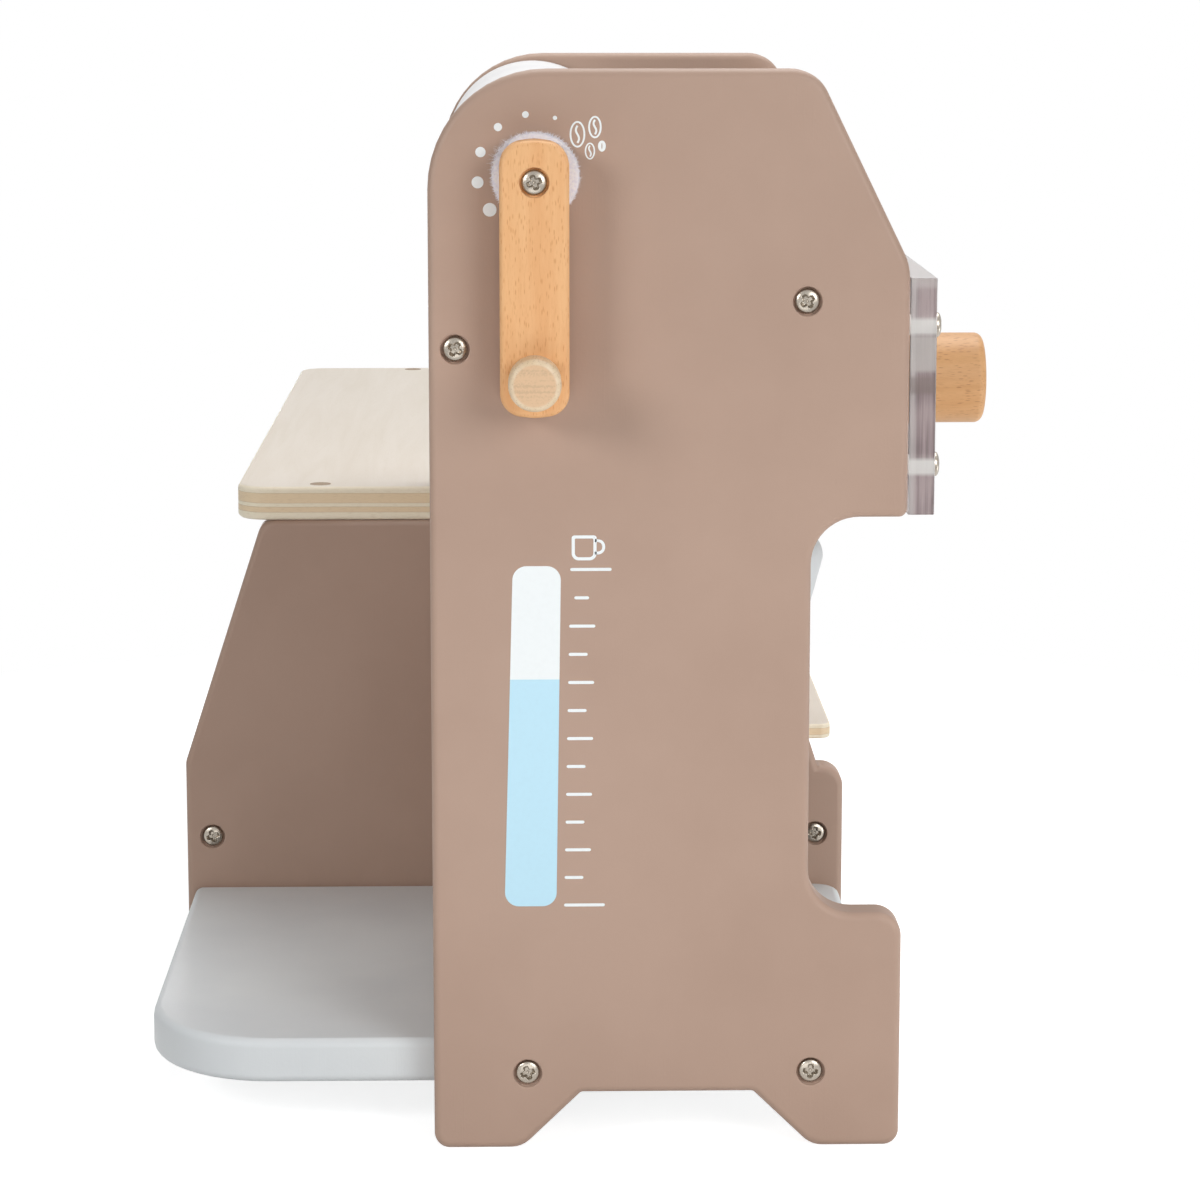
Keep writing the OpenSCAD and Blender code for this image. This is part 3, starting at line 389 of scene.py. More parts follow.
def makeAcrylic(s):
    material, tree, point = newMaterial("clearCastAcrylic")
    normal = addNode(tree, "NewGeometry").outputs["Normal"]
    facing = addNode(tree, "SeparateXYZ", {}, {"Vector": normal})
    toFront = addNode(tree, "Math", {"operation": "ABSOLUTE"}, {0: facing.outputs["Y"]})
    rough = addNode(tree, "MapRange",
                    {"From Min": 0.85, "From Max": 0.98, "To Min": s["sawn"],
                     "To Max": s["polished"]}, {"Value": toFront})
    markMap = addNode(tree, "Mapping", {"Scale": perMetre(*s["sawMark"])}, {"Vector": point})
    marks = addNode(tree, "TexNoise", {"Scale": 1, "Detail": 3}, {"Vector": markMap})
    sawn = addNode(tree, "MapRange", {"From Min": 0.98, "From Max": 0.85}, {"Value": toFront})
    markHeight = addNode(tree, "Math", {"operation": "MULTIPLY"}, {0: marks, 1: sawn})
    bump = addNode(tree, "Bump", {"Strength": 0.5, "Distance": 0.0003}, {"Height": markHeight})
    clear = addNode(tree, "BsdfPrincipled",
                    {"Base Color": s["tint"], "IOR": s["ior"], "Transmission Weight": 1},
                    {"Roughness": rough, "Normal": bump})

    # The two sawn ends are matt, with upright saw streaks and clouds; their dark tones are painted
    # shade for the dim look through the sheet, and painted bands show the bores and the bolt behind
    cloud = addNode(tree, "TexNoise", {"Scale": 1000 / s["cloud"], "Detail": 1}, {"Vector": point})
    streak = addNode(tree, "MixRGB", {"Fac": 0.5}, {"Color1": marks, "Color2": cloud})
    endColor = addNode(tree, "ValToRGB", {"stops": [(0.41, s["endDark"]), (0.58, s["end"])]},
                       {"Fac": streak})
    where = addNode(tree, "SeparateXYZ", {}, {"Vector": point})
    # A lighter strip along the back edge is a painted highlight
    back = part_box("front_window")[1][1]
    start, full = s["backEdgeWidth"]
    backHighlightMask = addNode(tree, "MapRange",
                     {"From Min": back - start * mm, "From Max": back - full * mm,
                      "To Max": s["backEdgeShare"]}, {"Value": where.outputs["Y"]})
    shade = addNode(tree, "MixRGB", {"Color2": s["backEdgeHighlight"]},
                    {"Fac": backHighlightMask, "Color1": endColor})
    # Paints each band over the ends: light where the bores and haze show through, a dark shadow
    # where the bolt does
    for height, half, color, strength in s["paintedSeeThroughBands"]:
        over = addNode(tree, "Math", {"operation": "SUBTRACT", 1: height * mm},
                       {0: where.outputs["Z"]})
        away = addNode(tree, "Math", {"operation": "ABSOLUTE"}, {0: over})
        inBand = addNode(tree, "MapRange",
                         {"From Min": (half + s["bandBlur"]) * mm,
                          "From Max": (half - s["bandBlur"]) * mm, "To Max": strength},
                         {"Value": away})
        shade = addNode(tree, "MixRGB", {"Color2": color},
                        {"Fac": inBand, "Color1": shade})
    # The face that looks up takes the grey painted shade
    topShadeMask = addNode(tree, "MapRange", {"From Min": 0.7, "From Max": 0.95},
                    {"Value": facing.outputs["Z"]})
    veilColor = addNode(tree, "MixRGB", {"Color2": s["paintedTopShade"]},
                        {"Fac": topShadeMask, "Color1": shade})
    veil = addNode(tree, "BsdfPrincipled", {"Roughness": 0.5, "IOR": s["ior"]},
                   {"Base Color": veilColor, "Normal": bump})
    sawnFace = addNode(tree, "MapRange", {"From Min": 0.7, "From Max": 0.3, "To Max": s["endVeil"]},
                       {"Value": toFront})
    sheet = addNode(tree, "MixShader", {}, {0: sawnFace, 1: clear, 2: veil})

    # The sheet lets the lamps' light through to what lies behind it
    path = addNode(tree, "LightPath")
    through = addNode(tree, "Math", {"operation": "MULTIPLY", 1: s["lampShare"]},
                      {0: path.outputs["Is Shadow Ray"]})
    clearWay = addNode(tree, "BsdfTransparent")
    lit = addNode(tree, "MixShader", {}, {0: through, 1: sheet, 2: clearWay})
    return withSurface(material, lit)


# The drilled bores round the window's screws are rough, so they look milky in the clear sheet
drilledAcrylic = {"color": "#E9E7E2", "shade": 0.9, "cloud": 2, "roughness": 0.45}


def makeDrilled(s):
    material, tree, point = newMaterial("drilledAcrylicBore")
    cloud = addNode(tree, "TexNoise", {"Scale": 1000 / s["cloud"], "Detail": 2}, {"Vector": point})
    shade = linear(s["color"], s["shade"])
    color = addNode(tree, "ValToRGB", {"stops": [(0.4, shade), (0.6, s["color"])]},
                    {"Fac": cloud})
    wall = addNode(tree, "BsdfPrincipled", {"Roughness": s["roughness"], "IOR": 1.49},
                   {"Base Color": color})
    return withSurface(material, wall)


# Nickel plated steel: warm grey metal, tumbled, so its sheen is broken by tiny scratches
nickelSteel = {"color": "#A49C91", "roughness": 0.26, "scratch": 0.35}


def makeNickel(s):
    material, tree, point = newMaterial("brightNickelPlatedSteel")
    scratch = addNode(tree, "TexNoise", {"Scale": 1000 / s["scratch"], "Detail": 4},
                      {"Vector": point})
    rough = addNode(tree, "MapRange",
                    {"To Min": s["roughness"] - 0.1, "To Max": s["roughness"] + 0.16},
                    {"Value": scratch})
    bump = addNode(tree, "Bump", {"Strength": 0.15, "Distance": 0.0001}, {"Height": scratch})
    metal = addNode(tree, "BsdfPrincipled", {"Base Color": s["color"], "Metallic": 1.0},
                    {"Roughness": rough, "Normal": bump})
    return withSurface(material, metal)


# Pad printed ink: thin and even, a touch smoother than the paint under it
padInk = {"white": "#F1F6F7", "blue": "#BEE5F6", "shade": 0.985, "roughness": 0.4, "mottle": 1.4}


def makeInk(s, tone):
    material, tree, point = newMaterial("padPrinted" + tone.capitalize() + "Ink")
    mottle = addNode(tree, "TexNoise", {"Scale": 1000 / s["mottle"], "Detail": 3},
                     {"Vector": point})
    shade = linear(s[tone], s["shade"])
    color = addNode(tree, "ValToRGB", {"stops": [(0.3, shade), (0.55, s[tone])]},
                    {"Fac": mottle})
    ink = addNode(tree, "BsdfPrincipled", {"Roughness": s["roughness"]}, {"Base Color": color})
    return withSurface(material, ink)


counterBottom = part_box("counter_top")[0][2]
trayRange = (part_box("tray_shelf")[0][2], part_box("tray_shelf")[1][2])
finish = {
    "taupe": makePaint(rolledPaint, "taupe"),
    "paleGrey": makePaint(rolledPaint, "paleGrey"),
    "white": makePaint(rolledPaint, "white"),
    "beechUpright": makeRod(oiledBeech, "oiledBeechUprightGrain", 2),
    "knobBeech": makeRod(turnedBeech, "turnedBeechForwardGrain", 1),
    "birchAcross": makeRod(lacqueredBirch, "lacqueredBirchAcrossGrain", 0),
    "birchForward": makeRod(lacqueredBirch, "lacqueredBirchForwardGrain", 1),
    "birchPlug": makeRod(plugBirch, "lacqueredBirchPlugEndGrain", 2),
    "counterPly": makePlywood(birchPlywood, "fivePlyBirch", counterBottom,
                              [0, 2.8, 4.6, 5.9, 9.2, 11.5]),
    "trayPly": makePlywood(birchPlywood, "threePlyBirch", trayRange[0], [0, 1.5, 3.7, 5.2]),
    "felt": makeFelt(pressedFelt),
    "acrylic": makeAcrylic(clearAcrylic),
    "drilled": makeDrilled(drilledAcrylic),
    "nickel": makeNickel(nickelSteel),
    "whiteInk": makeInk(padInk, "white"),
    "blueInk": makeInk(padInk, "blue"),
}
print("materials made")


def addShape(name, shape, material, mesh=None, smooth=True, sharpAngle=None):
    mesh = mesh or bpy.data.meshes.new(name)
    shape.to_mesh(mesh)
    shape.free()
    if smooth:
        mesh.polygons.foreach_set("use_smooth", [True] * len(mesh.polygons))
    if sharpAngle:
        mesh.set_sharp_from_angle(angle=math.radians(sharpAngle))
    mesh.materials.clear()
    mesh.materials.append(material)
    piece = bpy.data.objects.new(name, mesh)
    bpy.context.collection.objects.link(piece)
    return piece


# Boards: the drawing's square edges get the sanded, rounded arris of the real ones
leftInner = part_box("left_panel")[1][0]
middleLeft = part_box("middle_panel")[0][0]
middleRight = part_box("middle_panel")[1][0]
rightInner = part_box("right_panel")[0][0]

# arris: radius in millimetres; squareAt: ends that butt on a panel; grooves: height of a
# groove, whose rims stay square
panelBoard = {"finish": "taupe", "arris": 2.2, "holeArris": 0.4, "segments": 5}
towerBoard = {"finish": "taupe", "arris": 1.2, "holeArris": 0.2, "segments": 4,
              "squareAt": [leftInner, middleLeft]}
counterBoard = dict(towerBoard, squareAt=[middleRight, rightInner])
boards = {
    "left_panel": dict(panelBoard, name="leftPanelBoard"),
    "middle_panel": dict(panelBoard, name="middlePanelBoard", grooves=[trayRange]),
    "right_panel": dict(panelBoard, name="rightPanelBoard", grooves=[trayRange]),
    "base_plate": dict(panelBoard, name="basePlateBoard", finish="paleGrey", arris=2.6,
                       holeArris=0.3),
    "back_board": dict(towerBoard, name="backBoardPiece", arris=1.5),
    "head_floor": dict(towerBoard, name="headFloorBoard"),
    "hopper_floor": dict(towerBoard, name="hopperFloorBoard"),
    "slope_board": dict(towerBoard, name="slopeBoardPiece"),
    "counter_floor": dict(counterBoard, name="counterFloorBoard", finish="paleGrey", arris=1.8),
    "counter_divider": dict(counterBoard, name="counterDividerBoard", arris=0.6),
    "counter_top": {"name": "counterTopPly", "finish": "counterPly", "arris": 1.6,
                    "holeArris": 0.2, "segments": 4},
    "tray_shelf": {"name": "trayShelfPly", "finish": "trayPly", "arris": 0.8,
                   "holeArris": 0.2, "segments": 3},
    "chute_boards": {"name": "chuteBoardsPly", "finish": "birchForward", "arris": 0.5,
                     "holeArris": 0.2, "segments": 2},
    "front_window": {"name": "frontWindowSheet", "finish": "acrylic", "arris": 0.35,
                     "holeArris": 0.1, "segments": 2},
    "crank_arm": {"name": "crankArmBeech", "finish": "beechUpright", "arris": 1.7,
                  "holeArris": 0.35, "segments": 5, "body": "crank"},
}
rounding = {
    "flatAngle": 0.5,  # degrees
    "sharpAngle": 40,
    "weld": 1e-6,  # metres
    "endReach": 2e-5,
    "grooveReach": 2e-4,
    "boreSize": 0.012,  # rims up to this width are bores and take the finer arris
}


def edgeGroups(edges):
    left = set(edges)
    while left:
        group = []
        todo = [left.pop()]
        while todo:
            edge = todo.pop()
            group.append(edge)
            for vertex in edge.verts:
                for other in vertex.link_edges:
                    if other in left:
                        left.remove(other)
                        todo.append(other)
        yield group


def fillFlatSides(shape, reach):
    # Each broad side becomes one clean sheet again between its rounded arrises
    spans = [(min(v.co[i] for v in shape.verts), max(v.co[i] for v in shape.verts))
             for i in range(3)]
    thin = min(range(3), key=lambda i: spans[i][1] - spans[i][0])
    for level, way in zip(spans[thin], (-1, 1)):
        side = {f for f in shape.faces if all(abs(v.co[thin] - level) < reach for v in f.verts)}
        rim = list(dict.fromkeys(e for f in side for e in f.edges
                                 if sum(g in side for g in e.link_faces) == 1))
        bmesh.ops.delete(shape, geom=list(side), context="FACES_ONLY")
        loose = [e for e in shape.edges if not e.link_faces]
        bmesh.ops.delete(shape, geom=loose, context="EDGES")
        bmesh.ops.triangle_fill(shape, use_beauty=True, edges=[e for e in rim if e.is_valid],
                                normal=[way if i == thin else 0 for i in range(3)])
    bmesh.ops.recalc_face_normals(shape, faces=shape.faces)


def roundBoard(nodeName, s, limits):
    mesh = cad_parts[nodeName].data.copy()
    shape = bmesh.new()
    shape.from_mesh(mesh)
    bmesh.ops.remove_doubles(shape, verts=shape.verts, dist=limits["weld"])
    bmesh.ops.dissolve_limit(shape, angle_limit=math.radians(limits["flatAngle"]),
                             verts=shape.verts, edges=shape.edges)
    sharp = [e for e in shape.edges if len(e.link_faces) == 2 and e.is_convex
             and e.calc_face_angle(0) > math.radians(limits["sharpAngle"])]
    near, reach = limits["endReach"], limits["grooveReach"]
    outer, bores = [], []
    for group in edgeGroups(sharp):
        points = [v.co for e in group for v in e.verts]
        size = max(max(p[i] for p in points) - min(p[i] for p in points) for i in range(3))
        for edge in group:
            ends = [v.co for v in edge.verts]
            atEnd = any(all(abs(p[0] - x) < near for p in ends) for x in s.get("squareAt", ()))
            inGroove = any(all(low - reach < p[2] < high + reach for p in ends)
                           for low, high in s.get("grooves", ()))
            if not (atEnd or inGroove):
                (outer if size > limits["boreSize"] else bores).append(edge)
    for edges, width in ((outer, s["arris"]), (bores, s["holeArris"])):
        bmesh.ops.bevel(shape, geom=[e for e in edges if e.is_valid], offset=width * mm,
                        offset_type="OFFSET", segments=s["segments"], profile=0.5,
                        affect="EDGES", clamp_overlap=False, loop_slide=False)
    fillFlatSides(shape, limits["weld"])
    piece = addShape(s["name"], shape, finish[s["finish"]], mesh)
    even = piece.modifiers.new("evenShading", "WEIGHTED_NORMAL")
    even.mode = "FACE_AREA"
    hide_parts(nodeName)
    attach(piece, s.get("body", "frame"))


for nodeName, settings in boards.items():
    roundBoard(nodeName, settings, rounding)
print("boards rounded")


# Turned and plain pieces keep the drawing's shape and take their own finish
plainPieces = {
    "front_knob": "knobBeech",
    "crank_peg": "birchAcross",
    "drum_axle": "birchAcross",
    "dosing_wheel": "birchForward",
    "counter_plugs": "birchPlug",
    "tower_dowels": "birchAcross",
    "brew_outlet": "paleGrey",
    "drum_shell": "white",
    "drum_caps": "white",
    "knob_washer": "felt",
    "knob_bolt": "nickel",
    "counter_screws": "nickel",
    "back_board_screws": "nickel",
}
for nodeName, tone in plainPieces.items():
    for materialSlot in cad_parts[nodeName].material_slots:
        materialSlot.material = finish[tone]
print("turned pieces finished")


# Screws: domed heads with a tapered cross recess
screwHead = {
    "radius": 3.5, "height": 1.9, "rimHeight": 0.75, "domePower": 2.4,
    "crossWidth": 0.78, "crossReach": 2.15, "crossDepth": 1.7,
    "armTaper": 0.25, "wallSlope": 0.28, "endSlope": 0.75, "middleRadius": 1.35,
    "armDepth": 0.85, "middleDepth": 1.2,  # shares of the cross's depth
    "shankRadius": 2.0, "shankLength": 30, "tipLength": 4,
    "around": 72, "rings": 20, "ringSpread": 0.9,
    "firstTurn": 0.35, "nextTurn": 1.13,  # radians, of the first screw and from one to the next
}


def screwSurface(s, x, y):
    r = min(1.0, math.hypot(x, y) / s["radius"])
    low = s["rimHeight"]
    dome = low + (s["height"] - low) * math.sqrt(max(0.0, 1 - r ** s["domePower"]))

    def arm(along, side):
        width = s["crossWidth"] * (1 - s["armTaper"] * abs(along) / s["crossReach"])
        inside = min(1.0, max(0.0, (width - abs(side)) / s["wallSlope"] + 0.5))
        reach = min(1.0, max(0.0, (s["crossReach"] - abs(along)) / s["endSlope"]))
        return inside * reach

    cut = max(arm(x, y), arm(y, x))
    middle = max(0.0, 1 - math.hypot(x, y) / s["middleRadius"])
    deep = max(cut * s["armDepth"], middle * s["middleDepth"] if cut > 0 else 0)
    return dome - s["crossDepth"] * min(1.0, deep)


def screwMesh(s, turn):
    shape = bmesh.new()
    count = s["around"]
    angles = [math.tau * step / count + turn for step in range(count)]
    rings = []
    for ring in range(1, s["rings"] + 1):
        r = s["radius"] * (ring / s["rings"]) ** s["ringSpread"]
        rings.append([(*polar(r, angle), screwSurface(s, *polar(r, angle - turn)))
                      for angle in angles])
    for r, z in ((s["radius"], 0), (s["shankRadius"], 0),
                 (s["shankRadius"], -s["shankLength"] + s["tipLength"]),
                 (s["shankRadius"] / 2, -s["shankLength"])):
        rings.append([(*polar(r, angle), z) for angle in angles])
    centre = shape.verts.new((0, 0, screwSurface(s, 0, 0)))
    rows = [[shape.verts.new(p) for p in row] for row in rings]
    for i in range(count):
        shape.faces.new((centre, rows[0][i], rows[0][(i + 1) % count]))
    for inner, outer in zip(rows[:-1], rows[1:]):
        for i in range(count):
            j = (i + 1) % count
            shape.faces.new((inner[i], outer[i], outer[j], inner[j]))
    shape.faces.new(list(reversed(rows[-1])))
    for vertex in shape.verts:
        vertex.co *= mm
    bmesh.ops.recalc_face_normals(shape, faces=shape.faces)
    return shape


def turnTo(outward):
    return Vector(outward).to_track_quat("Z", "Y").to_matrix().to_4x4()


def addScrews(nodeName, name, seats, outward, body, s):
    # seats: places of the heads' undersides; outward: the way that the heads face
    whole = bmesh.new()
    for index, seat in enumerate(seats):
        one = screwMesh(s, s["firstTurn"] + s["nextTurn"] * index)
        one.transform(Matrix.Translation(place(*seat)) @ turnTo(outward))
        part = bpy.data.meshes.new("part")
        one.to_mesh(part)
        one.free()
        whole.from_mesh(part)
        bpy.data.meshes.remove(part)
    piece = addShape(name, whole, finish["nickel"], sharpAngle=50)
    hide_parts(nodeName)
    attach(piece, body)


# Seats on the panels are (forward, height); recess is how deep the heads are let in
boardWidth = 12
recess = 2
middleAcross, rightAcross = 180, 508
middleSeats = (middleAcross + recess, middleAcross + boardWidth - recess)
rightSeats = rightAcross + boardWidth - recess
toLeft, toRight, toFront = (-1, 0, 0), (1, 0, 0), (0, -1, 0)
towerSeats = [(27, 22.6), (108.7, 22.6), (7.4, 232.6), (105.8, 245.8)]
reachSeats = towerSeats + [(-60, 22.6)]
counterSeats = [(-79.7, 46.3), (125.1, 46.3), (23, 76.3), (23, 131)]
windowSeats = [(across, 142, height) for across in (6, 186) for height in (199.05, 238.65)]
crankSeats = [(-12.3, 29.6, 279.8)]
addScrews("left_panel_screws", "leftPanelScrewHeads",
          [(recess, *seat) for seat in towerSeats], toLeft, "frame", screwHead)
addScrews("middle_panel_left_screws", "middlePanelNicheScrewHeads",
          [(middleSeats[0], *seat) for seat in counterSeats], toLeft, "frame", screwHead)
addScrews("middle_panel_right_screws", "middlePanelCounterScrewHeads",
          [(middleSeats[1], *seat) for seat in reachSeats], toRight, "frame", screwHead)
addScrews("right_panel_screws", "rightPanelScrewHeads",
          [(rightSeats, *seat) for seat in counterSeats], toRight, "frame", screwHead)
addScrews("window_screws", "windowScrewHeads", windowSeats, toFront, "frame", screwHead)
addScrews("crank_screw", "crankScrewHead", crankSeats, toLeft, "crank", screwHead)
print("screws made")


# Walls of the bores that show round the screws' shanks in the clear window
boreWall = {"inner": 2.02, "outer": 2.9, "back": 134.55, "front": 141.9, "around": 48}


def addBoreWalls(s):
    shape = bmesh.new()
    count = s["around"]
    corners = ((s["inner"], s["back"]), (s["outer"], s["back"]),
               (s["outer"], s["front"]), (s["inner"], s["front"]))
    for across, forward, height in windowSeats:
        rings = [[shape.verts.new(place(across + x, f, height + y))
                  for x, y in (polar(r, math.tau * i / count) for i in range(count))]
                 for r, f in corners]
        for one, other in zip(rings, rings[1:] + rings[:1]):
            for i in range(count):
                j = (i + 1) % count
                shape.faces.new((one[i], one[j], other[j], other[i]))
    bmesh.ops.recalc_face_normals(shape, faces=shape.faces)
    piece = addShape("windowBoreWalls", shape, finish["drilled"], sharpAngle=50)
    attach(piece, "frame")


addBoreWalls(boreWall)
print("bore walls made")


# Felt washer behind the crank, with loose fibres round its rim
feltRing = {
    "centre": (30, 280.8),
    "inner": 7.9,
    "outer": 12.0,
    "thick": 1.9,
    "underside": 0.1,
    "rimWidth": 0.5,
    "rim": [(0.15, -0.2, 1), (0, 0, 0.55)],  # in from the edge, and up: millimetres and share
    "around": 160,
    "steps": 8,
    "softWaves": 1.1,  # to the millimetre
    "fineWaves": 3.1,
    "softSwell": (0.12, 0.1),  # millimetres outwards at the rim, and in thickness
    "fineSwell": 0.06,
    "fibres": 3600,
    "fibreBand": 2.2,  # millimetres in from the rim
    "fibreLength": (0.2, 0.85),
    "fibreWidth": 0.06,
    "fibreParts": 4,
    "fibreTop": 2.1,
    "fibreTaper": 0.8,
    # ways of the fibres: outwards, along the rim and up, then how they curl
    "out": (0.3, 1.0),
    "along": (-0.9, 0.9),
    "up": (-0.1, 0.12),
    "curlUp": (-0.25, 0.2),
    "curl": 0.5,
    "tuftLength": 1.6,
    "tuftAngle": 2.6,  # radians
    "tuftPower": 12,
    "seed": 11,
}


def makeFeltRing(s):
    random.seed(s["seed"])
    shape = bmesh.new()
    inner, outer, thick, low = s["inner"], s["outer"], s["thick"], s["underside"]
    face = outer - s["rimWidth"] - inner
    profile = [(inner + face * i / s["steps"], thick) for i in range(s["steps"] + 1)]
    profile += [(outer - back, thick * share + up) for back, up, share in s["rim"]]
    profile += [(outer - low, low), (inner, low)]
    rows = []
    for step in range(s["around"]):
        angle = math.tau * step / s["around"]
        row = []
        for r, z in profile:
            spot = Vector((*polar(r, angle), z))
            soft = noise.noise(spot * s["softWaves"])
            fine = noise.noise(spot * s["fineWaves"]) * s["fineSwell"]
            wide = r + (s["softSwell"][0] * soft + fine if r > outer - 1 else 0)
            high = z + (s["softSwell"][1] * soft + fine - s["softSwell"][1] if z > 1 else 0)
            row.append(shape.verts.new((*polar(wide, angle), high)))
        rows.append(row)
    for a, b in zip(rows, rows[1:] + rows[:1]):
        for i in range(len(profile)):
            j = (i + 1) % len(profile)
            shape.faces.new((a[i], b[i], b[j], a[j]))
    for fibre in range(s["fibres"]):
        angle = random.uniform(0, math.tau)
        r = outer - random.random() ** 2 * s["fibreBand"]
        z = random.uniform(0.3, thick - 0.1) if r > outer - 0.3 else thick - 0.15
        root = Vector((*polar(r, angle), z))
        out = Vector((*polar(1, angle), 0))
        way = (out * random.uniform(*s["out"])
               + Vector((-out.y, out.x, 0)) * random.uniform(*s["along"])
               + Vector((0, 0, random.uniform(*s["up"])))).normalized()
        curl = Vector((random.uniform(-1, 1), random.uniform(-1, 1),
                       random.uniform(*s["curlUp"]))) * s["curl"]
        tuft = max(0, math.cos(angle - s["tuftAngle"])) ** s["tuftPower"]
        length = (random.uniform(*s["fibreLength"])
                  + tuft * random.random() ** 2 * s["tuftLength"])
        side = way.cross(Vector((0, 0, 1))).normalized() * s["fibreWidth"]
        last = None
        for part in range(s["fibreParts"] + 1):
            t = part / s["fibreParts"]
            point = root + way * length * t + curl * length * t * t
            point.z = min(max(point.z, low), s["fibreTop"])
            width = side * (1 - t * s["fibreTaper"])
            pair = (shape.verts.new(point - width), shape.verts.new(point + width))
            if last:
                shape.faces.new((last[0], last[1], pair[1], pair[0]))
            last = pair
    for vertex in shape.verts:
        vertex.co *= mm
    shape.transform(Matrix.Translation(place(0, *s["centre"])) @ turnTo(toLeft))
    piece = addShape("feltWasherRing", shape, finish["felt"])
    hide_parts("felt_washer")
    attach(piece, "frame")


makeFeltRing(feltRing)
print("felt washer made")


# Printed marks on the left panel, as thin films of ink
marks = {
    "lift": 0.05,  # millimetres over the paint
    "dots": [(35.41, 296.75, 0.6), (27.28, 297.67, 0.94), (19.68, 294.24, 1.14),
             (14.82, 287.38, 1.43), (13.97, 279.03, 1.66), (17.3, 271.46, 1.9)],
    "beans": [(41.62, 292.24, 2.17, 3.66), (46.45, 294.22, 1.86, 3.09),
              (45.07, 287.62, 1.43, 2.34), (48.38, 288.99, 1.09, 1.54)],
    "beanStrokes": (0.52, 0.52, 0.416, 0.416),
    "seam": {"sway": 0.2, "length": 1.3, "stroke": 1.1, "steps": 14, "slit": (0.3, 0.55)},
    "gauge": {"top": (30.05, 171.2), "bottom": (28.0, 72.4), "topHalf": 6.8, "bottomHalf": 7.4,
              "corner": 4.0, "level": 138.6},
    "ticks": {"top": (39.9, 170.2), "bottom": (38.0, 72.7), "count": 13, "ends": 10.8,
              "major": 6.5, "minor": 4.5, "first": (1.3, 3.3), "stroke": 0.9},
    "cup": {"left": 39.87, "top": 179.94, "right": 46.9, "bottom": 172.8, "stroke": 0.9,
            "outerCorners": [0.8, 0.8, 2.0, 2.0], "innerCorners": [0.3, 0.3, 1.2, 1.2],
            "handle": (49.35, 178.9, 174.4), "handleSteps": 16, "handleBulge": 0.6,
            "handleStroke": 0.81},
}


def addFilm(name, outlines, material, lift):
    # each outline is a closed list of (forward, height) points, and the list of its hole or None
    shape = bmesh.new()
    for outer, inner in outlines:
        front = [shape.verts.new(place(-lift, f, h)) for f, h in outer]
        if inner is None:
            shape.faces.new(front)
        else:
            hole = [shape.verts.new(place(-lift, f, h)) for f, h in inner]
            for i in range(len(front)):
                j = (i + 1) % len(front)
                shape.faces.new((front[i], front[j], hole[j], hole[i]))
    bmesh.ops.recalc_face_normals(shape, faces=shape.faces)
    for face in shape.faces:
        if face.normal.x > 0:
            face.normal_flip()
    piece = addShape(name, shape, material, smooth=False)
    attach(piece, "frame")
    return piece


def ellipse(f, h, a, b, count=48):
    return [(f + a * math.cos(math.tau * i / count), h + b * math.sin(math.tau * i / count))
            for i in range(count)]


def stroke(points, width):
    left, right = [], []
    for i, (x, y) in enumerate(points):
        x0, y0 = points[max(0, i - 1)]
        x1, y1 = points[min(len(points) - 1, i + 1)]
        length = math.hypot(x1 - x0, y1 - y0)
        nx, ny = -(y1 - y0) / length * width / 2, (x1 - x0) / length * width / 2
        left.append((x + nx, y + ny))
        right.append((x - nx, y - ny))
    return left + right[::-1]


def roundedQuad(corners, radii, steps=10):
    points = []
    for i, corner in enumerate(corners):
        here = Vector(corner)
        before = (Vector(corners[i - 1]) - here).normalized()
        after = (Vector(corners[(i + 1) % 4]) - here).normalized()
        r = radii[i]
        if r == 0:
            points.append(tuple(here))
            continue
        half = before.angle(after) / 2
        middle = here + (before + after).normalized() * r / math.sin(half)
        start = here + before * r / math.tan(half) - middle
        end = here + after * r / math.tan(half) - middle
        first = math.atan2(start.y, start.x)
        sweep = (math.atan2(end.y, end.x) - first + math.pi) % math.tau - math.pi
        for step in range(steps + 1):
            angle = first + sweep * step / steps
            points.append((middle.x + r * math.cos(angle), middle.y + r * math.sin(angle)))
    return points


def capsule(left, right, h, r):
    return [(f + r * math.cos(math.radians(start + step)),
             h + r * math.sin(math.radians(start + step)))
            for f, start in ((right, -90), (left, 90)) for step in range(0, 181, 30)]


def beanOutlines(f, h, a, b, w, s, solid):
    # a bean is a ring with a curved seam; the smallest is solid with a slit
    if solid:
        return [(ellipse(f, h, a, b), ellipse(f, h, w * s["slit"][0], b * s["slit"][1]))]
    steps = [i / s["steps"] for i in range(s["steps"] + 1)]
    seam = [(f + s["sway"] * a * math.sin(t * math.tau), h + (t - 0.5) * s["length"] * b)
            for t in steps]
    return [(ellipse(f, h, a, b), ellipse(f, h, a - w, b - w)),
            (stroke(seam, w * s["stroke"]), None)]


def gaugeOutlines(s):
    (ft, ht), (fb, hb) = s["top"], s["bottom"]
    level, r = s["level"], s["corner"]
    t = (level - hb) / (ht - hb)
    middle = fb + (ft - fb) * t
    half = s["bottomHalf"] + (s["topHalf"] - s["bottomHalf"]) * t
    empty = roundedQuad([(ft - s["topHalf"], ht), (ft + s["topHalf"], ht),
                         (middle + half, level), (middle - half, level)], [r, r, 0, 0])
    full = roundedQuad([(middle - half, level), (middle + half, level),
                        (fb + s["bottomHalf"], hb), (fb - s["bottomHalf"], hb)], [0, 0, r, r])
    return (empty, None), (full, None)


def tickOutlines(s):
    ticks = []
    for i in range(s["count"]):
        t = i / (s["count"] - 1)
        f, h = (a + (b - a) * t for a, b in zip(s["top"], s["bottom"]))
        length = s["ends"] if i in (0, s["count"] - 1) else s["major" if i % 2 == 0 else "minor"]
        indent, length = s["first"] if i == 1 else (0, length)
        ticks.append((capsule(f + indent, f + indent + length, h, s["stroke"] / 2), None))
    return ticks


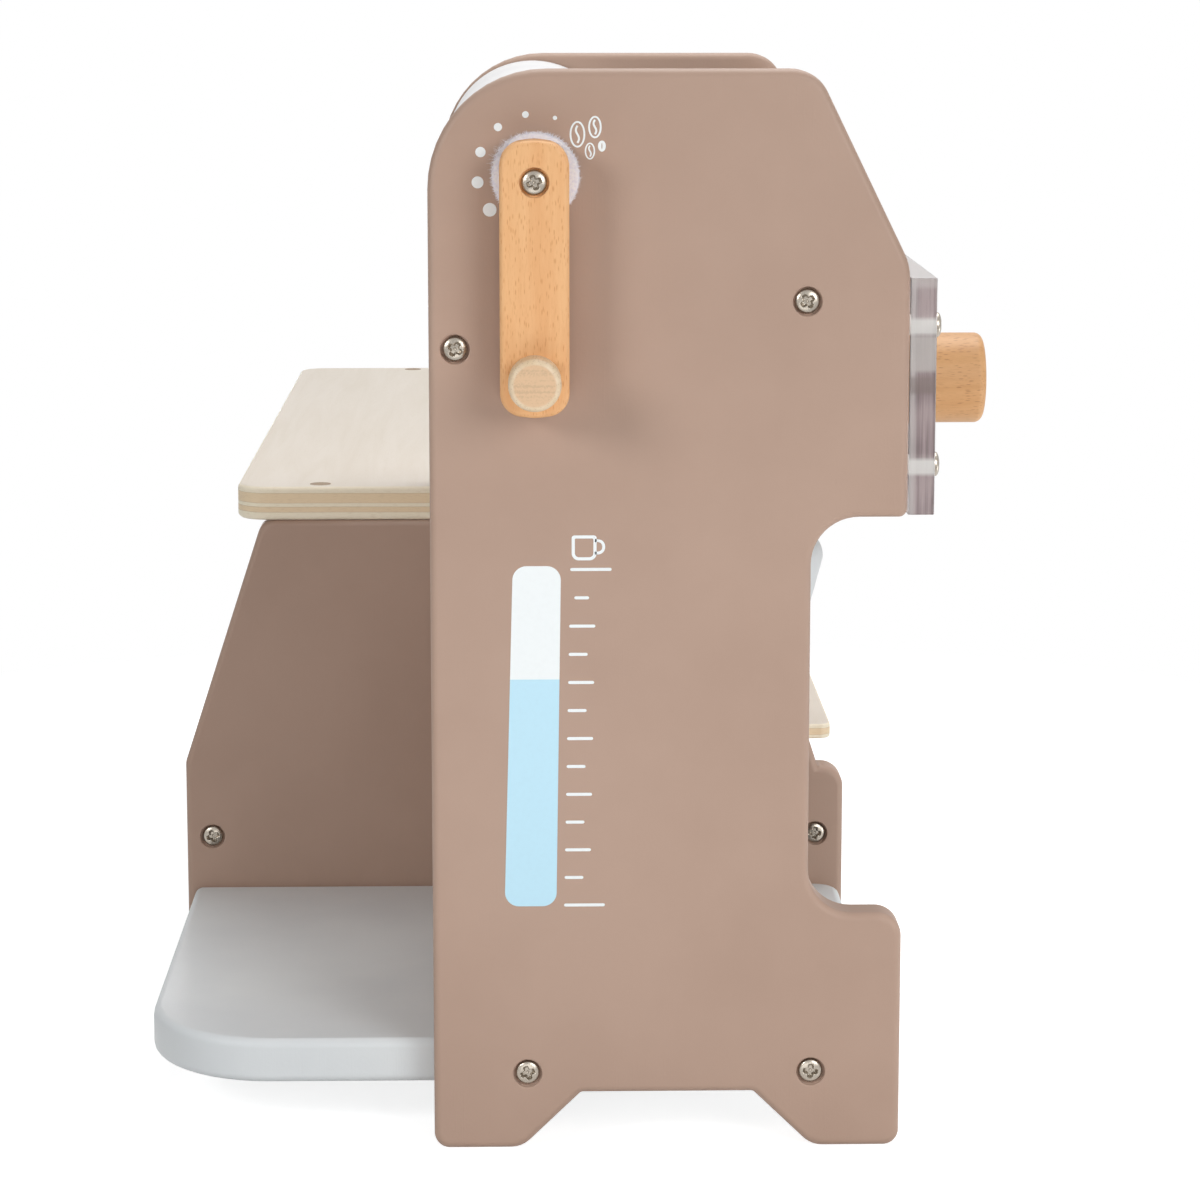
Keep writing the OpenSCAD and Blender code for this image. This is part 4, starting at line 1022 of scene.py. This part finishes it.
def cupOutlines(s):
    w = s["stroke"]

    def bowl(inset, corners):
        left, right = s["left"] + inset, s["right"] - inset
        top, bottom = s["top"] - inset, s["bottom"] + inset
        return roundedQuad([(left, top), (right, top), (right, bottom), (left, bottom)], corners)

    outer, high, low = s["handle"]
    bend = (high - low) / 2
    middle = (high + low) / 2
    reach = outer - w / 2 - s["right"] + w / 2
    angles = [math.pi * i / s["handleSteps"] for i in range(s["handleSteps"] + 1)]
    handle = [(s["right"] - w / 2 + reach * math.sin(angle) ** s["handleBulge"],
               middle + (bend - w / 2) * math.cos(angle)) for angle in angles]
    return [(bowl(0, s["outerCorners"]), bowl(w, s["innerCorners"])),
            (stroke(handle, s["handleStroke"]), None)]


def makeMarks(s):
    white = [(ellipse(f, h, r, r), None) for f, h, r in s["dots"]]
    for bean, w in zip(s["beans"], s["beanStrokes"]):
        white += beanOutlines(*bean, w, s["seam"], bean is s["beans"][-1])
    empty, full = gaugeOutlines(s["gauge"])
    white += [empty] + tickOutlines(s["ticks"]) + cupOutlines(s["cup"])
    addFilm("whitePrint", white, finish["whiteInk"], s["lift"])
    addFilm("bluePrint", [full], finish["blueInk"], s["lift"])


makeMarks(marks)
print("marks printed")


# Studio: pale floor, white backdrop seen by the camera, soft lamps
studio = {
    "floorLift": 0.78,  # added for the camera alone, so that the paper reads white
    "floorFade": (0.34, 0.5),  # metres from the toy, where the paper blends into the backdrop
    "floorHalf": 6,  # metres
    "paperTone": (0.64, 0.7),
    "paperFibre": 2.5,  # millimetres
    "worldColor": "#F4F6FA",
    "worldStrength": 0.05,
    "lamps": [
        {"name": "backSideSoftbox", "place": (-600, -600, 560), "target": (0, 60, 120),
         "size": 0.3, "power": 3.25},
        {"name": "frontSideSoftbox", "place": (-700, 520, 480), "target": (0, 60, 120),
         "size": 0.5, "power": 3.6},
        {"name": "lowCard", "place": (-300, 20, 15), "target": (0, 40, 60),
         "size": 0.3, "power": 0.34},
        {"name": "gapCard", "place": (-30, 420, 70), "target": (180, 110, 60),
         "size": 0.15, "power": 0.3},
        {"name": "topSoftbox", "place": (380, 210, 1100), "target": (220, 20, 100),
         "size": 0.9, "power": 8.1},
        {"name": "farSideSoftbox", "place": (1150, -120, 70), "target": (450, 30, 120),
         "size": 0.18, "power": 2.5},
    ],
}


def seenRay(tree):
    # 1 where the camera looks, straight, by gloss or through the clear sheet
    path = addNode(tree, "LightPath")
    plain = addNode(tree, "Math", {"operation": "MAXIMUM"},
                    {0: path.outputs["Is Camera Ray"], 1: path.outputs["Is Glossy Ray"]})
    return addNode(tree, "Math", {"operation": "MAXIMUM"},
                   {0: plain, 1: path.outputs["Is Transmission Ray"]})


def makeWorld(s):
    world = bpy.data.worlds.new("studioWorld")
    bpy.context.scene.world = world
    world.use_nodes = True
    tree = world.node_tree
    tree.nodes.clear()
    light = addNode(tree, "Background",
                    {"Color": s["worldColor"], "Strength": s["worldStrength"]})
    white = addNode(tree, "Background", {"Color": (1, 1, 1, 1), "Strength": 1})
    mix = addNode(tree, "MixShader", {}, {0: seenRay(tree), 1: light, 2: white})
    addNode(tree, "OutputWorld", {}, {"Surface": mix})


def makeFloor(s):
    # Matt seamless paper, which goes white where it is well lit
    material, tree, point = newMaterial("paleSeamlessPaper")
    fibre = addNode(tree, "TexNoise", {"Scale": 1000 / s["paperFibre"], "Detail": 2},
                    {"Vector": point})
    tone = addNode(tree, "MapRange", dict(zip(("To Min", "To Max"), s["paperTone"])),
                   {"Value": fibre})
    color = addNode(tree, "CombineColor", {}, {0: tone, 1: tone, 2: tone})
    paper = addNode(tree, "BsdfDiffuse", {}, {"Color": color})
    away = addNode(tree, "VectorMath", {"operation": "LENGTH"}, {0: point})
    fade = addNode(tree, "MapRange", dict(zip(("From Min", "From Max"), s["floorFade"])),
                   {"Value": away.outputs["Value"]})
    white = addNode(tree, "Emission", {"Strength": 1})
    glow = addNode(tree, "Emission", {"Strength": s["floorLift"]})
    near = addNode(tree, "AddShader", {}, {0: paper, 1: glow})
    lit = addNode(tree, "MixShader", {}, {0: fade, 1: near, 2: white})
    mix = addNode(tree, "MixShader", {}, {0: seenRay(tree), 1: paper, 2: lit})
    withSurface(material, mix)
    shape = bmesh.new()
    half = s["floorHalf"]
    shape.faces.new([shape.verts.new((x, y, 0))
                     for x, y in ((-half, -half), (half, -half), (half, half), (-half, half))])
    addShape("paperFloor", shape, material, smooth=False)


def makeLamps(s):
    for lamp in s["lamps"]:
        data = bpy.data.lights.new(lamp["name"], "AREA")
        data.shape = "DISK"
        data.size = lamp["size"]
        data.energy = lamp["power"]
        lampObject = bpy.data.objects.new(lamp["name"], data)
        lampObject.location = place(*lamp["place"])
        way = place(*lamp["target"]) - lampObject.location
        lampObject.rotation_euler = way.to_track_quat("-Z", "Y").to_euler()
        bpy.context.collection.objects.link(lampObject)


makeWorld(studio)
makeFloor(studio)
makeLamps(studio)
print("studio lit")
